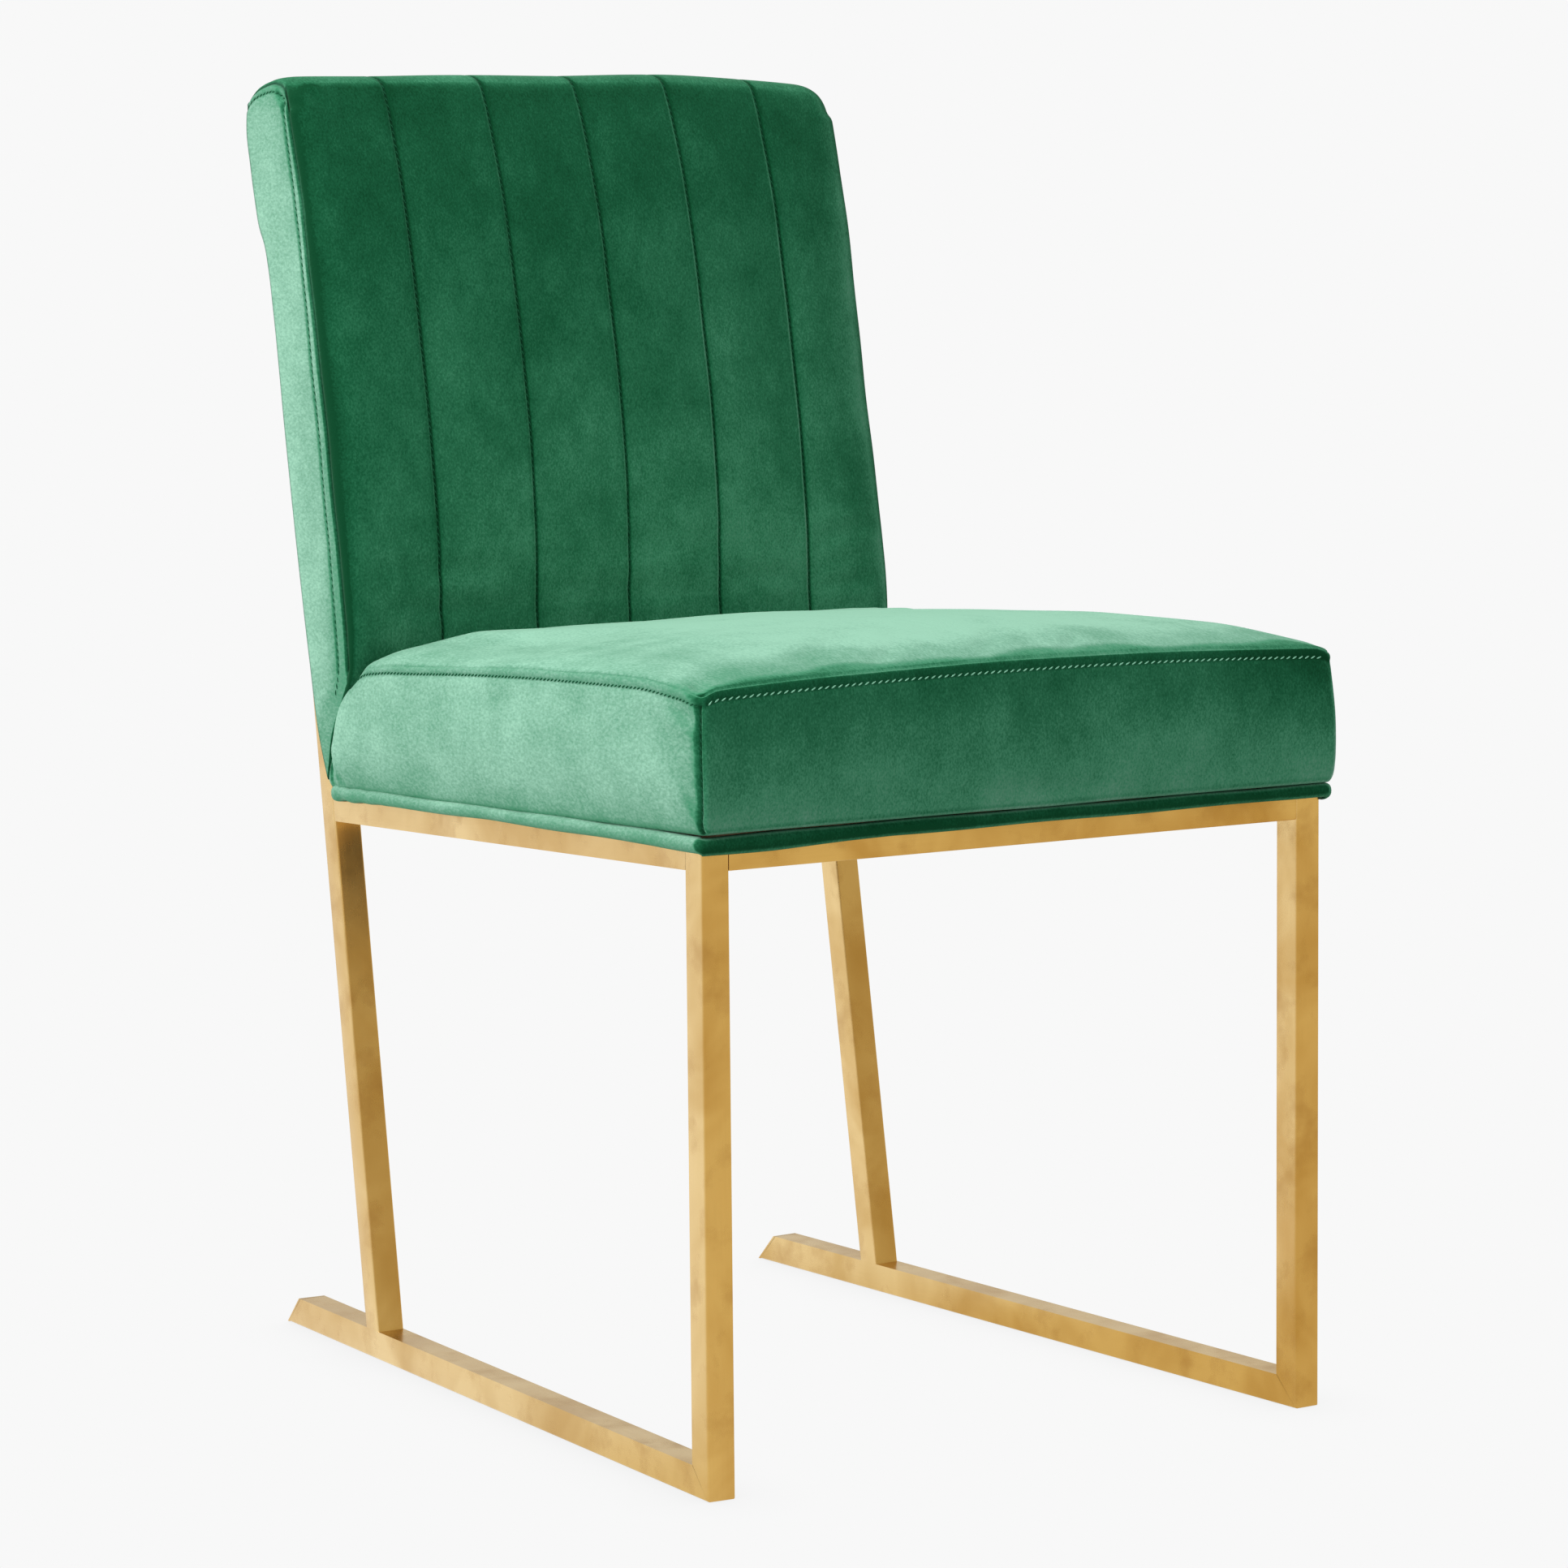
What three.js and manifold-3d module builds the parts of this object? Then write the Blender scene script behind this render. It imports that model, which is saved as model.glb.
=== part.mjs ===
// Dining chair: a welded square-tube frame on two floor runners, a boxed seat cushion and a
// channel-stitched backrest that slips over the tops of the back posts.
// Millimetres, +Z up, the front of the chair faces -Y. The origin is on the floor, under the
// middle of the whole chair.

import * as THREE from 'three';
import { mergeVertices } from 'three/addons/utils/BufferGeometryUtils.js';
import Module from 'manifold-3d';

const wasm = await Module();
wasm.setup();

// ---------------------------------------------------------------- driving dimensions

const GAP = 0.3;                      // left between neighbouring pieces
const SLIVER = 0.02;                  // finer detail left behind by a cut is smoothed away
const BEYOND = 400;                   // a cutting block reaches this far past what it cuts

// Frame: y = 0 is the front face of the front legs until the whole chair is centred
const TUBE = 20;                      // square tube, across its flats
const WALL = 1.5;                     // tube wall, and the plate that closes a runner
const FRAME_WIDTH = 480;              // across the outer faces of the front legs
const TOE_IN = Math.atan(0.0466);     // each side frame turns in towards the back
const RUNNER_LENGTH = 634;
const RAIL_TOP = 418;                 // top of the seat rails at the front
const SEAT_FALL = Math.atan(0.0435);  // seat rails fall towards the back
const LEAN = Math.atan(0.159);        // rear legs and back posts lean back
const POST_FOOT = 487.5;              // middle of the rear leg, carried down to the floor
const POST_LENGTH = 880;              // along the lean, from the floor
const FRONT_RAIL_SETBACK = -0.5;      // level with the toed-in front legs
const REAR_RAIL_BACK = 520;           // rear face of the rear seat rail
const TOP_RAIL_HEIGHT = 840;          // along the posts, to the middle of the top back rail

// Seat: heights are from the plane of the rail tops, distances back from the front legs
const SEAT_OVERHANG = 7;              // of the cushion over the frame, each side
const SEAT_FRONT = -14.5;
const SEAT_BACK = 536;
const SEAT_BASE = 3.4;                // lower edge of the cover
const SEAT_SEAM = 98.8;               // highest point of the top seam
const SEAT_EDGE_REACH = 50;           // the top panel swells within this distance of its side seams
const SEAT_EDGE_RISE = { front: 13, rear: 20 }; // by this much,
const SEAT_CROWN = { front: 12, rear: 1 };      // and arches up by this much more to its middle
const SEAT_CHANGE = [300, 440];       // the front's form turns into the rear's between these
const SEAT_STEPS = 24;                // facets across the top of the seat
const SEAT_CORNER = 9;
const SEAT_BOARD = 12;
const SEAT_BOARD_FRONT = 2;
const SEAT_BOARD_BACK = 522;
const SEAT_BOARD_INSET = 2;           // each side, from the outer faces of the frame
const SEAT_BOARD_CORNER = 20;
const WELT_TOP = 3;
const WELT_DROP = 7;                  // below the rail tops
const WELT_OUT = 6;                   // proud of the side rails
const WELT_FRONT = 8;                 // proud of the front legs
const WELT_INNER_FRONT = 1.5;         // clears the toed-in front faces of the legs
const WELT_INNER_SIDE = 0.4;          // clears the outer faces of the side rails
const WELT_CORNER = 8;
const COVER = 2;                      // upholstery fabric with its backing
const DUST_COVER = { thickness: 0.8, margin: 4, corner: 12 };

// Backrest: measured from the rear faces of the posts and along them
const BACK_HALF_WIDTH = 222;
const BACK_BOTTOM = 405;
const BACK_TOP = 898.5;
const BACK_CORNER = 24;
const BACK_EDGE_RISE = 12;            // the front stands this far ahead right beside its edges,
const EDGE_START = 430;               // from this height,
const EDGE_FULL = 500;                // and fully from this one
const BACK_CROWN = 19;                // the middle of the front stands this much further ahead
const CROWN_HEIGHT = 690;             // at this height; that falls away to nothing
const CROWN_BELOW = 175;              // this far below
const CROWN_ABOVE = 270;              // and this far above
const SWELL_STEPS = 16;               // facets across the front of the backrest
const BACK_HEM = 5;                   // the cover turns in this far behind its side panels
const COVER_TURN_UP = 15;             // the cover's lower edge stands this high behind
const HOOD_BOTTOM = 768;              // the hood covers the posts above this
const HOOD_HEM = 3;                   // thickness of the hood's lower edge
const SWELL_START = 25;               // the side panels are flat from the rear to this depth,
const SWELL_FULL = 58;                // and the whole swell is reached by this one
const BACK_MID_DEPTH = 35;            // inner forms are drawn in towards this depth
const BACK_HALF_DEPTH = 45;
const POST_DEPTH = 21.4;              // a post with its clearance
const BACK_BOARD = 12;
const BACK_BOARD_BOTTOM = 475;
const BACK_BOARD_TOP = 868;
const BACK_BOARD_HALF_WIDTH = 205;
const REAR_PANEL = 2.5;
const REAR_PANEL_HALF_WIDTH = 190.5;
const REAR_PANEL_BOTTOM = 430;

// Fasteners
const BOLT_RADIUS = 3;
const POST_HOLE_RADIUS = 4.25;
const HEAD_RADIUS = 6.5;
const HEAD_HEIGHT = 3.5;
const HEAD_CHAMFER = 1.5;
const SEAT_TAB = { width: 28, length: 30, thickness: 3 };
const SEAT_TAB_PLACES = { front: 70, rear: 440 };
const BACK_BOLT_HEIGHTS = { lower: 520, upper: 700 };

// ---------------------------------------------------------------- materials

const gold = new THREE.MeshStandardMaterial({ color: 0xc9a35a, roughness: 0.28, metalness: 1.0 });
const zinc = new THREE.MeshStandardMaterial({ color: 0x9a9a96, roughness: 0.4, metalness: 1.0 });
const velvet = new THREE.MeshStandardMaterial({ color: 0x22694a, roughness: 0.9, metalness: 0 });
const plywood = new THREE.MeshStandardMaterial({ color: 0xc9a878, roughness: 0.7, metalness: 0 });
const foam = new THREE.MeshStandardMaterial({ color: 0xe8dfc4, roughness: 0.95, metalness: 0 });
const blackCloth = new THREE.MeshStandardMaterial({ color: 0x1b1b1c, roughness: 0.95, metalness: 0 });

// ---------------------------------------------------------------- solids

function toSolid(geometry) {
  let bare = geometry.clone();
  bare.deleteAttribute('normal');
  bare.deleteAttribute('uv');
  bare = mergeVertices(bare, 1e-4);
  return new wasm.Manifold(new wasm.Mesh({
    numProp: 3,
    vertProperties: bare.attributes.position.array,
    triVerts: new Uint32Array(bare.index.array),
  }));
}

function toGeometry(solid) {
  const { vertProperties, triVerts } = solid.simplify(SLIVER).getMesh();
  const geometry = new THREE.BufferGeometry();
  geometry.setAttribute('position', new THREE.BufferAttribute(vertProperties, 3));
  geometry.setIndex(new THREE.BufferAttribute(triVerts, 1));
  geometry.computeVertexNormals();
  return geometry;
}

function piece(name, geometry, material) {
  const mesh = new THREE.Mesh(geometry, material);
  mesh.name = name;
  return mesh;
}

// Turns an outline drawn as (back, up) and extruded into a solid that runs along X.
const SIDE_VIEW = new THREE.Matrix4().makeBasis(
  new THREE.Vector3(0, 1, 0),
  new THREE.Vector3(0, 0, 1),
  new THREE.Vector3(1, 0, 0),
);

// Turns an outline drawn as (right, up) and extruded into a solid that runs forwards, along -Y.
const FRONT_VIEW = new THREE.Matrix4().makeRotationX(Math.PI / 2);

function extrude(outline, depth, options = {}) {
  const shape = Array.isArray(outline) ? new THREE.Shape(outline) : outline;
  return new THREE.ExtrudeGeometry(shape, { depth, bevelEnabled: false, ...options });
}

// ---------------------------------------------------------------- straight tubes

const cross = (a, b) => a.x * b.y - a.y * b.x;

// The four corners of a straight strip about the centre line from start to end. Each end is cut
// along its own direction and carried on past the cut by overrun.
function strip(start, end, halfWidth, overrun) {
  const direction = end.at.clone().sub(start.at).normalize();
  const normal = new THREE.Vector2(-direction.y, direction.x);
  const corner = (cut, side, extra) => {
    const edge = start.at.clone().addScaledVector(normal, side * halfWidth);
    const reach = cross(cut.at.clone().sub(edge), cut.along) / cross(direction, cut.along);
    return edge.addScaledVector(direction, reach + extra);
  };
  return [
    corner(start, -1, -overrun),
    corner(end, -1, overrun),
    corner(end, 1, overrun),
    corner(start, 1, -overrun),
  ];
}

// A square tube between two cuts, open at both ends, drawn flat and extruded to its own width.
function tube(start, end) {
  const bore = extrude(strip(start, end, TUBE / 2 - WALL, TUBE), TUBE - 2 * WALL);
  bore.translate(0, 0, WALL);
  return toSolid(extrude(strip(start, end, TUBE / 2, 0), TUBE)).subtract(toSolid(bore));
}

const cut = (x, y, alongX, alongY) => ({
  at: new THREE.Vector2(x, y),
  along: new THREE.Vector2(alongX, alongY),
});

// ---------------------------------------------------------------- side frames

const leanX = Math.sin(LEAN);         // how far back and up a point moves with each millimetre
const leanY = Math.cos(LEAN);         // along a post
const half = TUBE / 2;

// The top is cut to the fall of the seat.
function frontLeg() {
  const top = RAIL_TOP - half * Math.tan(SEAT_FALL);
  return tube(cut(half, half + GAP * Math.SQRT2, 1, 1), cut(half, top, 1, -Math.tan(SEAT_FALL)));
}

function floorRunner() {
  const capSpace = (WALL + GAP) * Math.SQRT2;
  return tube(cut(half, half, 1, 1), cut(RUNNER_LENGTH - half - capSpace, half, -1, 1));
}

function runnerEndCap() {
  const slant = WALL * Math.SQRT2;
  return toSolid(extrude([
    new THREE.Vector2(RUNNER_LENGTH - slant, 0),
    new THREE.Vector2(RUNNER_LENGTH, 0),
    new THREE.Vector2(RUNNER_LENGTH - TUBE, TUBE),
    new THREE.Vector2(RUNNER_LENGTH - TUBE - slant, TUBE),
  ], TUBE));
}

// A bolt's hole through a post. Heights are kept along the rear face, as on the backrest.
function boltHole(height) {
  const along = height + half * Math.tan(LEAN);
  const hole = new THREE.CylinderGeometry(POST_HOLE_RADIUS, POST_HOLE_RADIUS, 2 * TUBE, 24);
  hole.rotateZ(-Math.PI / 2 - LEAN);
  hole.translate(POST_FOOT + along * leanX, along * leanY, half);
  return toSolid(hole);
}

function rearLegAndPost() {
  const foot = TUBE + GAP;
  const footX = POST_FOOT + foot * Math.tan(LEAN);
  const topX = POST_FOOT + POST_LENGTH * leanX;
  const post = tube(cut(footX, foot, 1, 0), cut(topX, POST_LENGTH * leanY, leanY, -leanX));
  const drill = (solid, height) => solid.subtract(boltHole(height));
  return Object.values(BACK_BOLT_HEIGHTS).reduce(drill, post);
}

// The rail runs from the upright leg to where its middle line meets the front face of the post.
function seatSideRail() {
  const fall = Math.tan(SEAT_FALL);
  const lean = Math.tan(LEAN);
  const middleAtFront = RAIL_TOP - half / Math.cos(SEAT_FALL);
  const middle = (back) => middleAtFront - back * fall;
  const startX = TUBE + GAP;
  const postFaceAtFloor = POST_FOOT - (half + GAP) / leanY;
  const endX = (postFaceAtFloor + middleAtFront * lean) / (1 + fall * lean);
  return tube(cut(startX, middle(startX), 0, 1), cut(endX, middle(endX), leanX, leanY));
}

function sideFrame(side) {
  const sign = side === 'left' ? -1 : 1;
  const group = new THREE.Group();
  const parts = {
    front_leg: frontLeg(),
    floor_runner: floorRunner(),
    runner_end_cap: runnerEndCap(),
    rear_leg_and_back_post: rearLegAndPost(),
    seat_side_rail: seatSideRail(),
  };
  for (const [name, solid] of Object.entries(parts)) {
    const geometry = toGeometry(solid).applyMatrix4(SIDE_VIEW);
    geometry.translate(sign < 0 ? 0 : -TUBE, 0, 0);
    group.add(piece(`${side}_${name}`, geometry, gold));
  }
  group.position.x = sign * FRAME_WIDTH / 2;
  group.rotation.z = sign * TOE_IN;
  return group;
}

// ---------------------------------------------------------------- cross rails

const toe = Math.tan(TOE_IN);         // each side frame comes in by this for each step back

// Half the width between the inner faces of the side frames.
const innerHalf = (back) => FRAME_WIDTH / 2 - TUBE / Math.cos(TOE_IN) - back * toe;

// A tube from side to side, drawn in plan with both ends cut to meet the toed-in side frames.
function crossRail(front, halfWidth) {
  const middle = front + half;
  const reach = halfWidth - GAP;
  const geometry = toGeometry(tube(
    cut(-reach, middle, toe, 1),
    cut(reach, middle, -toe, 1),
  ));
  return geometry.translate(0, 0, -TUBE);
}

function frontSeatRail() {
  const middle = FRONT_RAIL_SETBACK + half;
  const rail = piece('front_seat_rail', crossRail(FRONT_RAIL_SETBACK, innerHalf(middle)), gold);
  rail.position.z = RAIL_TOP - TUBE * Math.tan(SEAT_FALL);
  return rail;
}

function rearSeatRail() {
  const front = REAR_RAIL_BACK - TUBE;
  return piece('rear_seat_rail', crossRail(front, innerHalf(REAR_RAIL_BACK - half)), gold);
}

// ---------------------------------------------------------------- seat

const seatHalfWidth = (back, offset) => FRAME_WIDTH / 2 + offset - back * toe;

// Plan of the seat as a shape in (x, back), with rounded corners.
function seatPlan(front, back, offset, radius) {
  const frontX = seatHalfWidth(front, offset);
  const backX = seatHalfWidth(back, offset);
  const shape = new THREE.Shape();
  shape.moveTo(-frontX + radius, front);
  shape.lineTo(frontX - radius, front);
  shape.quadraticCurveTo(frontX, front, frontX, front + radius);
  shape.lineTo(backX, back - radius);
  shape.quadraticCurveTo(backX, back, backX - radius, back);
  shape.lineTo(-backX + radius, back);
  shape.quadraticCurveTo(-backX, back, -backX, back - radius);
  shape.lineTo(-frontX, front + radius);
  shape.quadraticCurveTo(-frontX, front, -frontX + radius, front);
  return shape;
}

// Side view of the seat as (back, up) points: a bulging front, an arched top seam and a rounded
// rear that tucks in below the backrest.
const SEAT_SIDE_VIEW = [
  [SEAT_FRONT + 1, 20], [SEAT_FRONT, 45], [SEAT_FRONT + 1.9, 94], [40, 98], [130, SEAT_SEAM],
  [220, SEAT_SEAM], [310, 97.5], [390, 94.5], [440, 92.8], [472, 89], [496, 76.5], [516, 61],
  [527, 43], [SEAT_BACK - 1, 25],
];

// How far the top panel rises over its seams: a quick swell beside the side seams and a low arch.
function seatCrown(x, back) {
  const halfWidth = seatHalfWidth(back, SEAT_OVERHANG);
  const across = Math.min(1, Math.abs(x) / halfWidth);
  const fromSeam = Math.min(1, halfWidth * (1 - across) / SEAT_EDGE_REACH);
  const rounded = Math.sqrt(1 - (1 - fromSeam) ** 2);
  const toRear = THREE.MathUtils.smoothstep(back, ...SEAT_CHANGE);
  const rise = THREE.MathUtils.lerp(SEAT_EDGE_RISE.front, SEAT_EDGE_RISE.rear, toRear);
  const crown = THREE.MathUtils.lerp(SEAT_CROWN.front, SEAT_CROWN.rear, toRear);
  const middle = (SEAT_FRONT + SEAT_BACK) / 2;
  const along = Math.min(1, Math.abs(back - middle) / (SEAT_BACK - middle));
  const fall = 1 - along ** (back < middle ? 4 : 8);
  return (rise * rounded + crown * (1 - across ** 1.5)) * fall;
}

// The seat's outer form, drawn in by inset on every side, from the height base upwards.
function seatBlock(inset, base) {
  const middle = (SEAT_FRONT + SEAT_BACK) / 2;
  const shrink = 1 - 2 * inset / (SEAT_BACK - SEAT_FRONT);
  const lower = 1 - inset / SEAT_SEAM;
  const points = SEAT_SIDE_VIEW.map(([back, up]) =>
    new THREE.Vector2(middle + (back - middle) * shrink, up * lower));
  const outline = new THREE.Shape();
  outline.moveTo(SEAT_FRONT + 4 + inset, base);
  outline.splineThru(points);
  outline.lineTo(SEAT_BACK - 1 - inset, base);
  const width = 2 + 4 / SEAT_STEPS;
  const body = extrude(outline, width, { steps: SEAT_STEPS + 2, curveSegments: 2 });
  body.applyMatrix4(SIDE_VIEW).translate(-width / 2, 0, 0);
  const place = body.attributes.position;
  for (let i = 0; i < place.count; i += 1) {
    const [across, back, up] = [place.getX(i), place.getY(i), place.getZ(i)];
    const x = across * seatHalfWidth(back, SEAT_OVERHANG);
    const share = Math.max(0, up) / SEAT_SEAM;
    place.setXYZ(i, x, back, up + share * seatCrown(x, back));
  }
  const plan = seatPlan(SEAT_FRONT + inset, SEAT_BACK - inset, SEAT_OVERHANG - inset, SEAT_CORNER);
  const column = extrude(plan, 4 * SEAT_SEAM, { curveSegments: 5 });
  column.translate(0, 0, -2 * SEAT_SEAM);
  return toSolid(body).intersect(toSolid(column));
}

function seatCover() {
  const below = -2 * COVER;
  return seatBlock(0, SEAT_BASE).subtract(seatBlock(COVER, below));
}

const seatFoam = () => seatBlock(COVER + GAP, SEAT_BOARD + 2 * GAP);

const tabX = (back, sign) =>
  sign * (innerHalf(back) - (GAP + SEAT_TAB.width / 2) / Math.cos(TOE_IN));

function upright(radius, low, high) {
  const cylinder = new THREE.CylinderGeometry(radius, radius, high - low, 24);
  return cylinder.rotateX(Math.PI / 2).translate(0, 0, (low + high) / 2);
}

function seatBoard() {
  const plan = seatPlan(SEAT_BOARD_FRONT, SEAT_BOARD_BACK, -SEAT_BOARD_INSET, SEAT_BOARD_CORNER);
  let board = toSolid(extrude(plan, SEAT_BOARD, { curveSegments: 4 }).translate(0, 0, GAP));
  for (const back of Object.values(SEAT_TAB_PLACES)) {
    for (const sign of [-1, 1]) {
      const hole = upright(BOLT_RADIUS + GAP, -SEAT_BOARD, 2 * SEAT_BOARD);
      board = board.subtract(toSolid(hole.translate(tabX(back, sign), back, 0)));
    }
  }
  return board;
}

function seatTab() {
  const { width, length, thickness } = SEAT_TAB;
  const plate = new THREE.BoxGeometry(width, length, thickness).translate(0, 0, -thickness / 2);
  return toSolid(plate).subtract(toSolid(upright(BOLT_RADIUS + GAP, -TUBE, TUBE)));
}

// A bolt standing on its head, with the underside of the head at 0.
function bolt(length) {
  const profile = [
    new THREE.Vector2(0, -HEAD_HEIGHT),
    new THREE.Vector2(HEAD_RADIUS - HEAD_CHAMFER, -HEAD_HEIGHT),
    new THREE.Vector2(HEAD_RADIUS, -HEAD_HEIGHT + HEAD_CHAMFER),
    new THREE.Vector2(HEAD_RADIUS, 0),
    new THREE.Vector2(BOLT_RADIUS, 0),
    new THREE.Vector2(BOLT_RADIUS, length),
    new THREE.Vector2(0, length),
  ];
  return new THREE.LatheGeometry(profile, 20).rotateX(Math.PI / 2);
}

// The seat's tabs and bolts at its four corners.
function seatFixings() {
  const fixings = [];
  for (const [row, back] of Object.entries(SEAT_TAB_PLACES)) {
    for (const [side, sign] of [['left', -1], ['right', 1]]) {
      const tab = piece(`${row}_${side}_seat_tab`, toGeometry(seatTab()), gold);
      tab.position.set(tabX(back, sign), back, 0);
      tab.rotation.z = sign * TOE_IN;
      const fixing = piece(`${row}_${side}_seat_bolt`, bolt(SEAT_BOARD), zinc);
      fixing.position.set(tabX(back, sign), back, -SEAT_TAB.thickness - GAP);
      fixings.push(tab, fixing);
    }
  }
  return fixings;
}

// A roll along the base of the cover, over the outer edges of the side rails and the front rail.
function seatWelt() {
  const front = -WELT_FRONT;
  const innerFront = -WELT_INNER_FRONT;
  const back = SEAT_BACK - 2;
  const outer = (y) => seatHalfWidth(y, WELT_OUT);
  const inner = (y) => seatHalfWidth(y, WELT_INNER_SIDE);
  const bend = front + WELT_CORNER;
  const shape = new THREE.Shape();
  shape.moveTo(-outer(back), back);
  shape.lineTo(-outer(bend), bend);
  shape.quadraticCurveTo(-outer(front), front, -outer(front) + WELT_CORNER, front);
  shape.lineTo(outer(front) - WELT_CORNER, front);
  shape.quadraticCurveTo(outer(front), front, outer(bend), bend);
  shape.lineTo(outer(back), back);
  shape.lineTo(inner(back), back);
  shape.lineTo(inner(innerFront), innerFront);
  shape.lineTo(-inner(innerFront), innerFront);
  shape.lineTo(-inner(back), back);
  const roll = extrude(shape, WELT_TOP + WELT_DROP, { curveSegments: 6 });
  return roll.translate(0, 0, -WELT_DROP);
}

// A thin sheet under the seat board, between the rails and the tabs.
function dustCover() {
  const { thickness, margin, corner } = DUST_COVER;
  const inset = TUBE + SEAT_TAB.width + margin;
  const plan = seatPlan(TUBE + margin, REAR_RAIL_BACK - TUBE - margin, -inset, corner);
  return extrude(plan, thickness, { curveSegments: 3 }).translate(0, 0, -thickness - GAP / 2);
}

// ---------------------------------------------------------------- backrest

// Side view of the backrest as (back, up) points, which run from the lower tip up the rear, round
// the hood and down the front.
const BACK_TIP = [-28, BACK_BOTTOM];
const BACK_REAR_VIEW = [
  [-21.5, REAR_PANEL_BOTTOM], [-15.5, 495], [-12.5, 556], [-10, 650], [-9, 740],
];
const REAR_PANEL_TOP = [-8.5, HOOD_BOTTOM - HOOD_HEM - GAP];
const BACK_HOOD_VIEW = [
  [-7.5, HOOD_BOTTOM], [-4.5, 786], [0.5, 797], [3.5, 815], [6, 845], [7, 866], [5.5, 880],
  [1, 890], [-8, 896], [-25, BACK_TOP], [-40, 897.5], [-52, 892],
];
const BACK_FRONT_VIEW = [
  [-60, 870], [-64, 840], [-67.5, 800], [-70, 740], [-72.5, 665], [-74.5, 600], [-76, 550],
  [-74.5, 495], [-70, 470], [-57, 455], [-40, 435], [-31, 415],
];

// How far the front swells forward of its side edges.
function backSwell(x, up) {
  const across = Math.min(1, Math.abs(x) / BACK_HALF_WIDTH);
  const reach = up < CROWN_HEIGHT ? CROWN_BELOW : CROWN_ABOVE;
  const full = 1 - Math.min(1, ((up - CROWN_HEIGHT) / reach) ** 2);
  const beside = THREE.MathUtils.smoothstep(up, EDGE_START, EDGE_FULL);
  return BACK_CROWN * (1 - across ** 2.6) * full + BACK_EDGE_RISE * (1 - across ** 40) * beside;
}

// The backrest's front view carried through from front to back: straight sides and rounded top
// corners that run out a little above the crest.
function backPrism(inset) {
  const low = BACK_BOTTOM - TUBE;
  const side = BACK_HALF_WIDTH - inset;
  const shoulder = BACK_TOP - inset;
  const top = shoulder + half;
  const shape = new THREE.Shape();
  shape.moveTo(-side, low);
  shape.lineTo(side, low);
  shape.lineTo(side, shoulder - BACK_CORNER);
  shape.quadraticCurveTo(side, shoulder, side - BACK_CORNER, top);
  shape.lineTo(-side + BACK_CORNER, top);
  shape.quadraticCurveTo(-side, shoulder, -side, shoulder - BACK_CORNER);
  const prism = extrude(shape, BEYOND, { curveSegments: 5 });
  return toSolid(prism.applyMatrix4(FRONT_VIEW).translate(0, BEYOND / 2, 0));
}

// The backrest's outer form drawn in by inset, cut away where it lies on the seat.
function backBlock(inset) {
  const halfHeight = (BACK_TOP - BACK_BOTTOM) / 2;
  const midHeight = BACK_BOTTOM + halfHeight;
  const drawnIn = ([back, up]) => new THREE.Vector2(
    (back + BACK_MID_DEPTH) * (1 - inset / BACK_HALF_DEPTH) - BACK_MID_DEPTH,
    (up - midHeight) * (1 - inset / halfHeight) + midHeight,
  );
  const outline = new THREE.Shape();
  outline.moveTo(...drawnIn(BACK_TIP).toArray());
  outline.splineThru([...BACK_REAR_VIEW, ...BACK_HOOD_VIEW, ...BACK_FRONT_VIEW].map(drawnIn));
  const width = 2 * BACK_HALF_WIDTH * (1 + 2 / SWELL_STEPS);
  const body = extrude(outline, width, { steps: SWELL_STEPS + 2, curveSegments: 1 });
  body.applyMatrix4(SIDE_VIEW).translate(-width / 2, 0, 0);
  const place = body.attributes.position;
  for (let i = 0; i < place.count; i += 1) {
    const depth = -place.getY(i);
    const share = THREE.MathUtils.smoothstep(depth, SWELL_START, SWELL_FULL);
    place.setY(i, -(depth + share * backSwell(place.getX(i), place.getZ(i))));
  }
  return toSolid(body).intersect(backPrism(inset)).subtract(seatSeenFromBack(inset));
}

// The space of the seat in the backrest's own frame, lifted so that the two stay clear.
function seatSeenFromBack(inset) {
  const lift = GAP + inset;
  const seat = toGeometry(seatBlock(0, SEAT_BASE)).translate(0, lift, lift);
  seatGroup.updateMatrix();
  backGroup.updateMatrix();
  const relative = backGroup.matrix.clone().invert().multiply(seatGroup.matrix);
  return toSolid(seat.applyMatrix4(relative));
}

function box(halfWidth, backLow, backHigh, low, high) {
  const geometry = new THREE.BoxGeometry(2 * halfWidth, backHigh - backLow, high - low);
  return geometry.translate(0, (backLow + backHigh) / 2, (low + high) / 2);
}

// Outer face of a post, as a distance from the middle of the chair, at a height along it.
const postOuter = (up) => FRAME_WIDTH / 2 - toe * (POST_FOOT + up * leanX) + GAP;

// The space that the two posts take up, with their clearance.
function postSpace() {
  const low = BACK_BOTTOM - TUBE;
  const high = POST_LENGTH + GAP;
  const width = TUBE / Math.cos(TOE_IN) + 4 * GAP;
  const slot = (sign) => {
    const outline = [
      new THREE.Vector2(sign * (postOuter(low) + GAP), low),
      new THREE.Vector2(sign * (postOuter(high) + GAP), high),
      new THREE.Vector2(sign * (postOuter(high) - width), high),
      new THREE.Vector2(sign * (postOuter(low) - width), low),
    ];
    const geometry = extrude(outline, POST_DEPTH + 1).applyMatrix4(FRONT_VIEW);
    return toSolid(geometry.translate(0, 1, 0));
  };
  return slot(-1).add(slot(1));
}

// The cover is open behind, between its side hems and below the hood, and round the posts.
function backCover() {
  const openHalf = BACK_HALF_WIDTH - BACK_HEM;
  const openFront = -POST_DEPTH - BACK_HEM;
  const openTop = HOOD_BOTTOM - HOOD_HEM;
  const rearOpening = box(openHalf, openFront, TUBE, BACK_BOTTOM + COVER_TURN_UP, openTop);
  return backBlock(0).subtract(backBlock(COVER)).subtract(toSolid(rearOpening)).subtract(postSpace());
}

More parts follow.
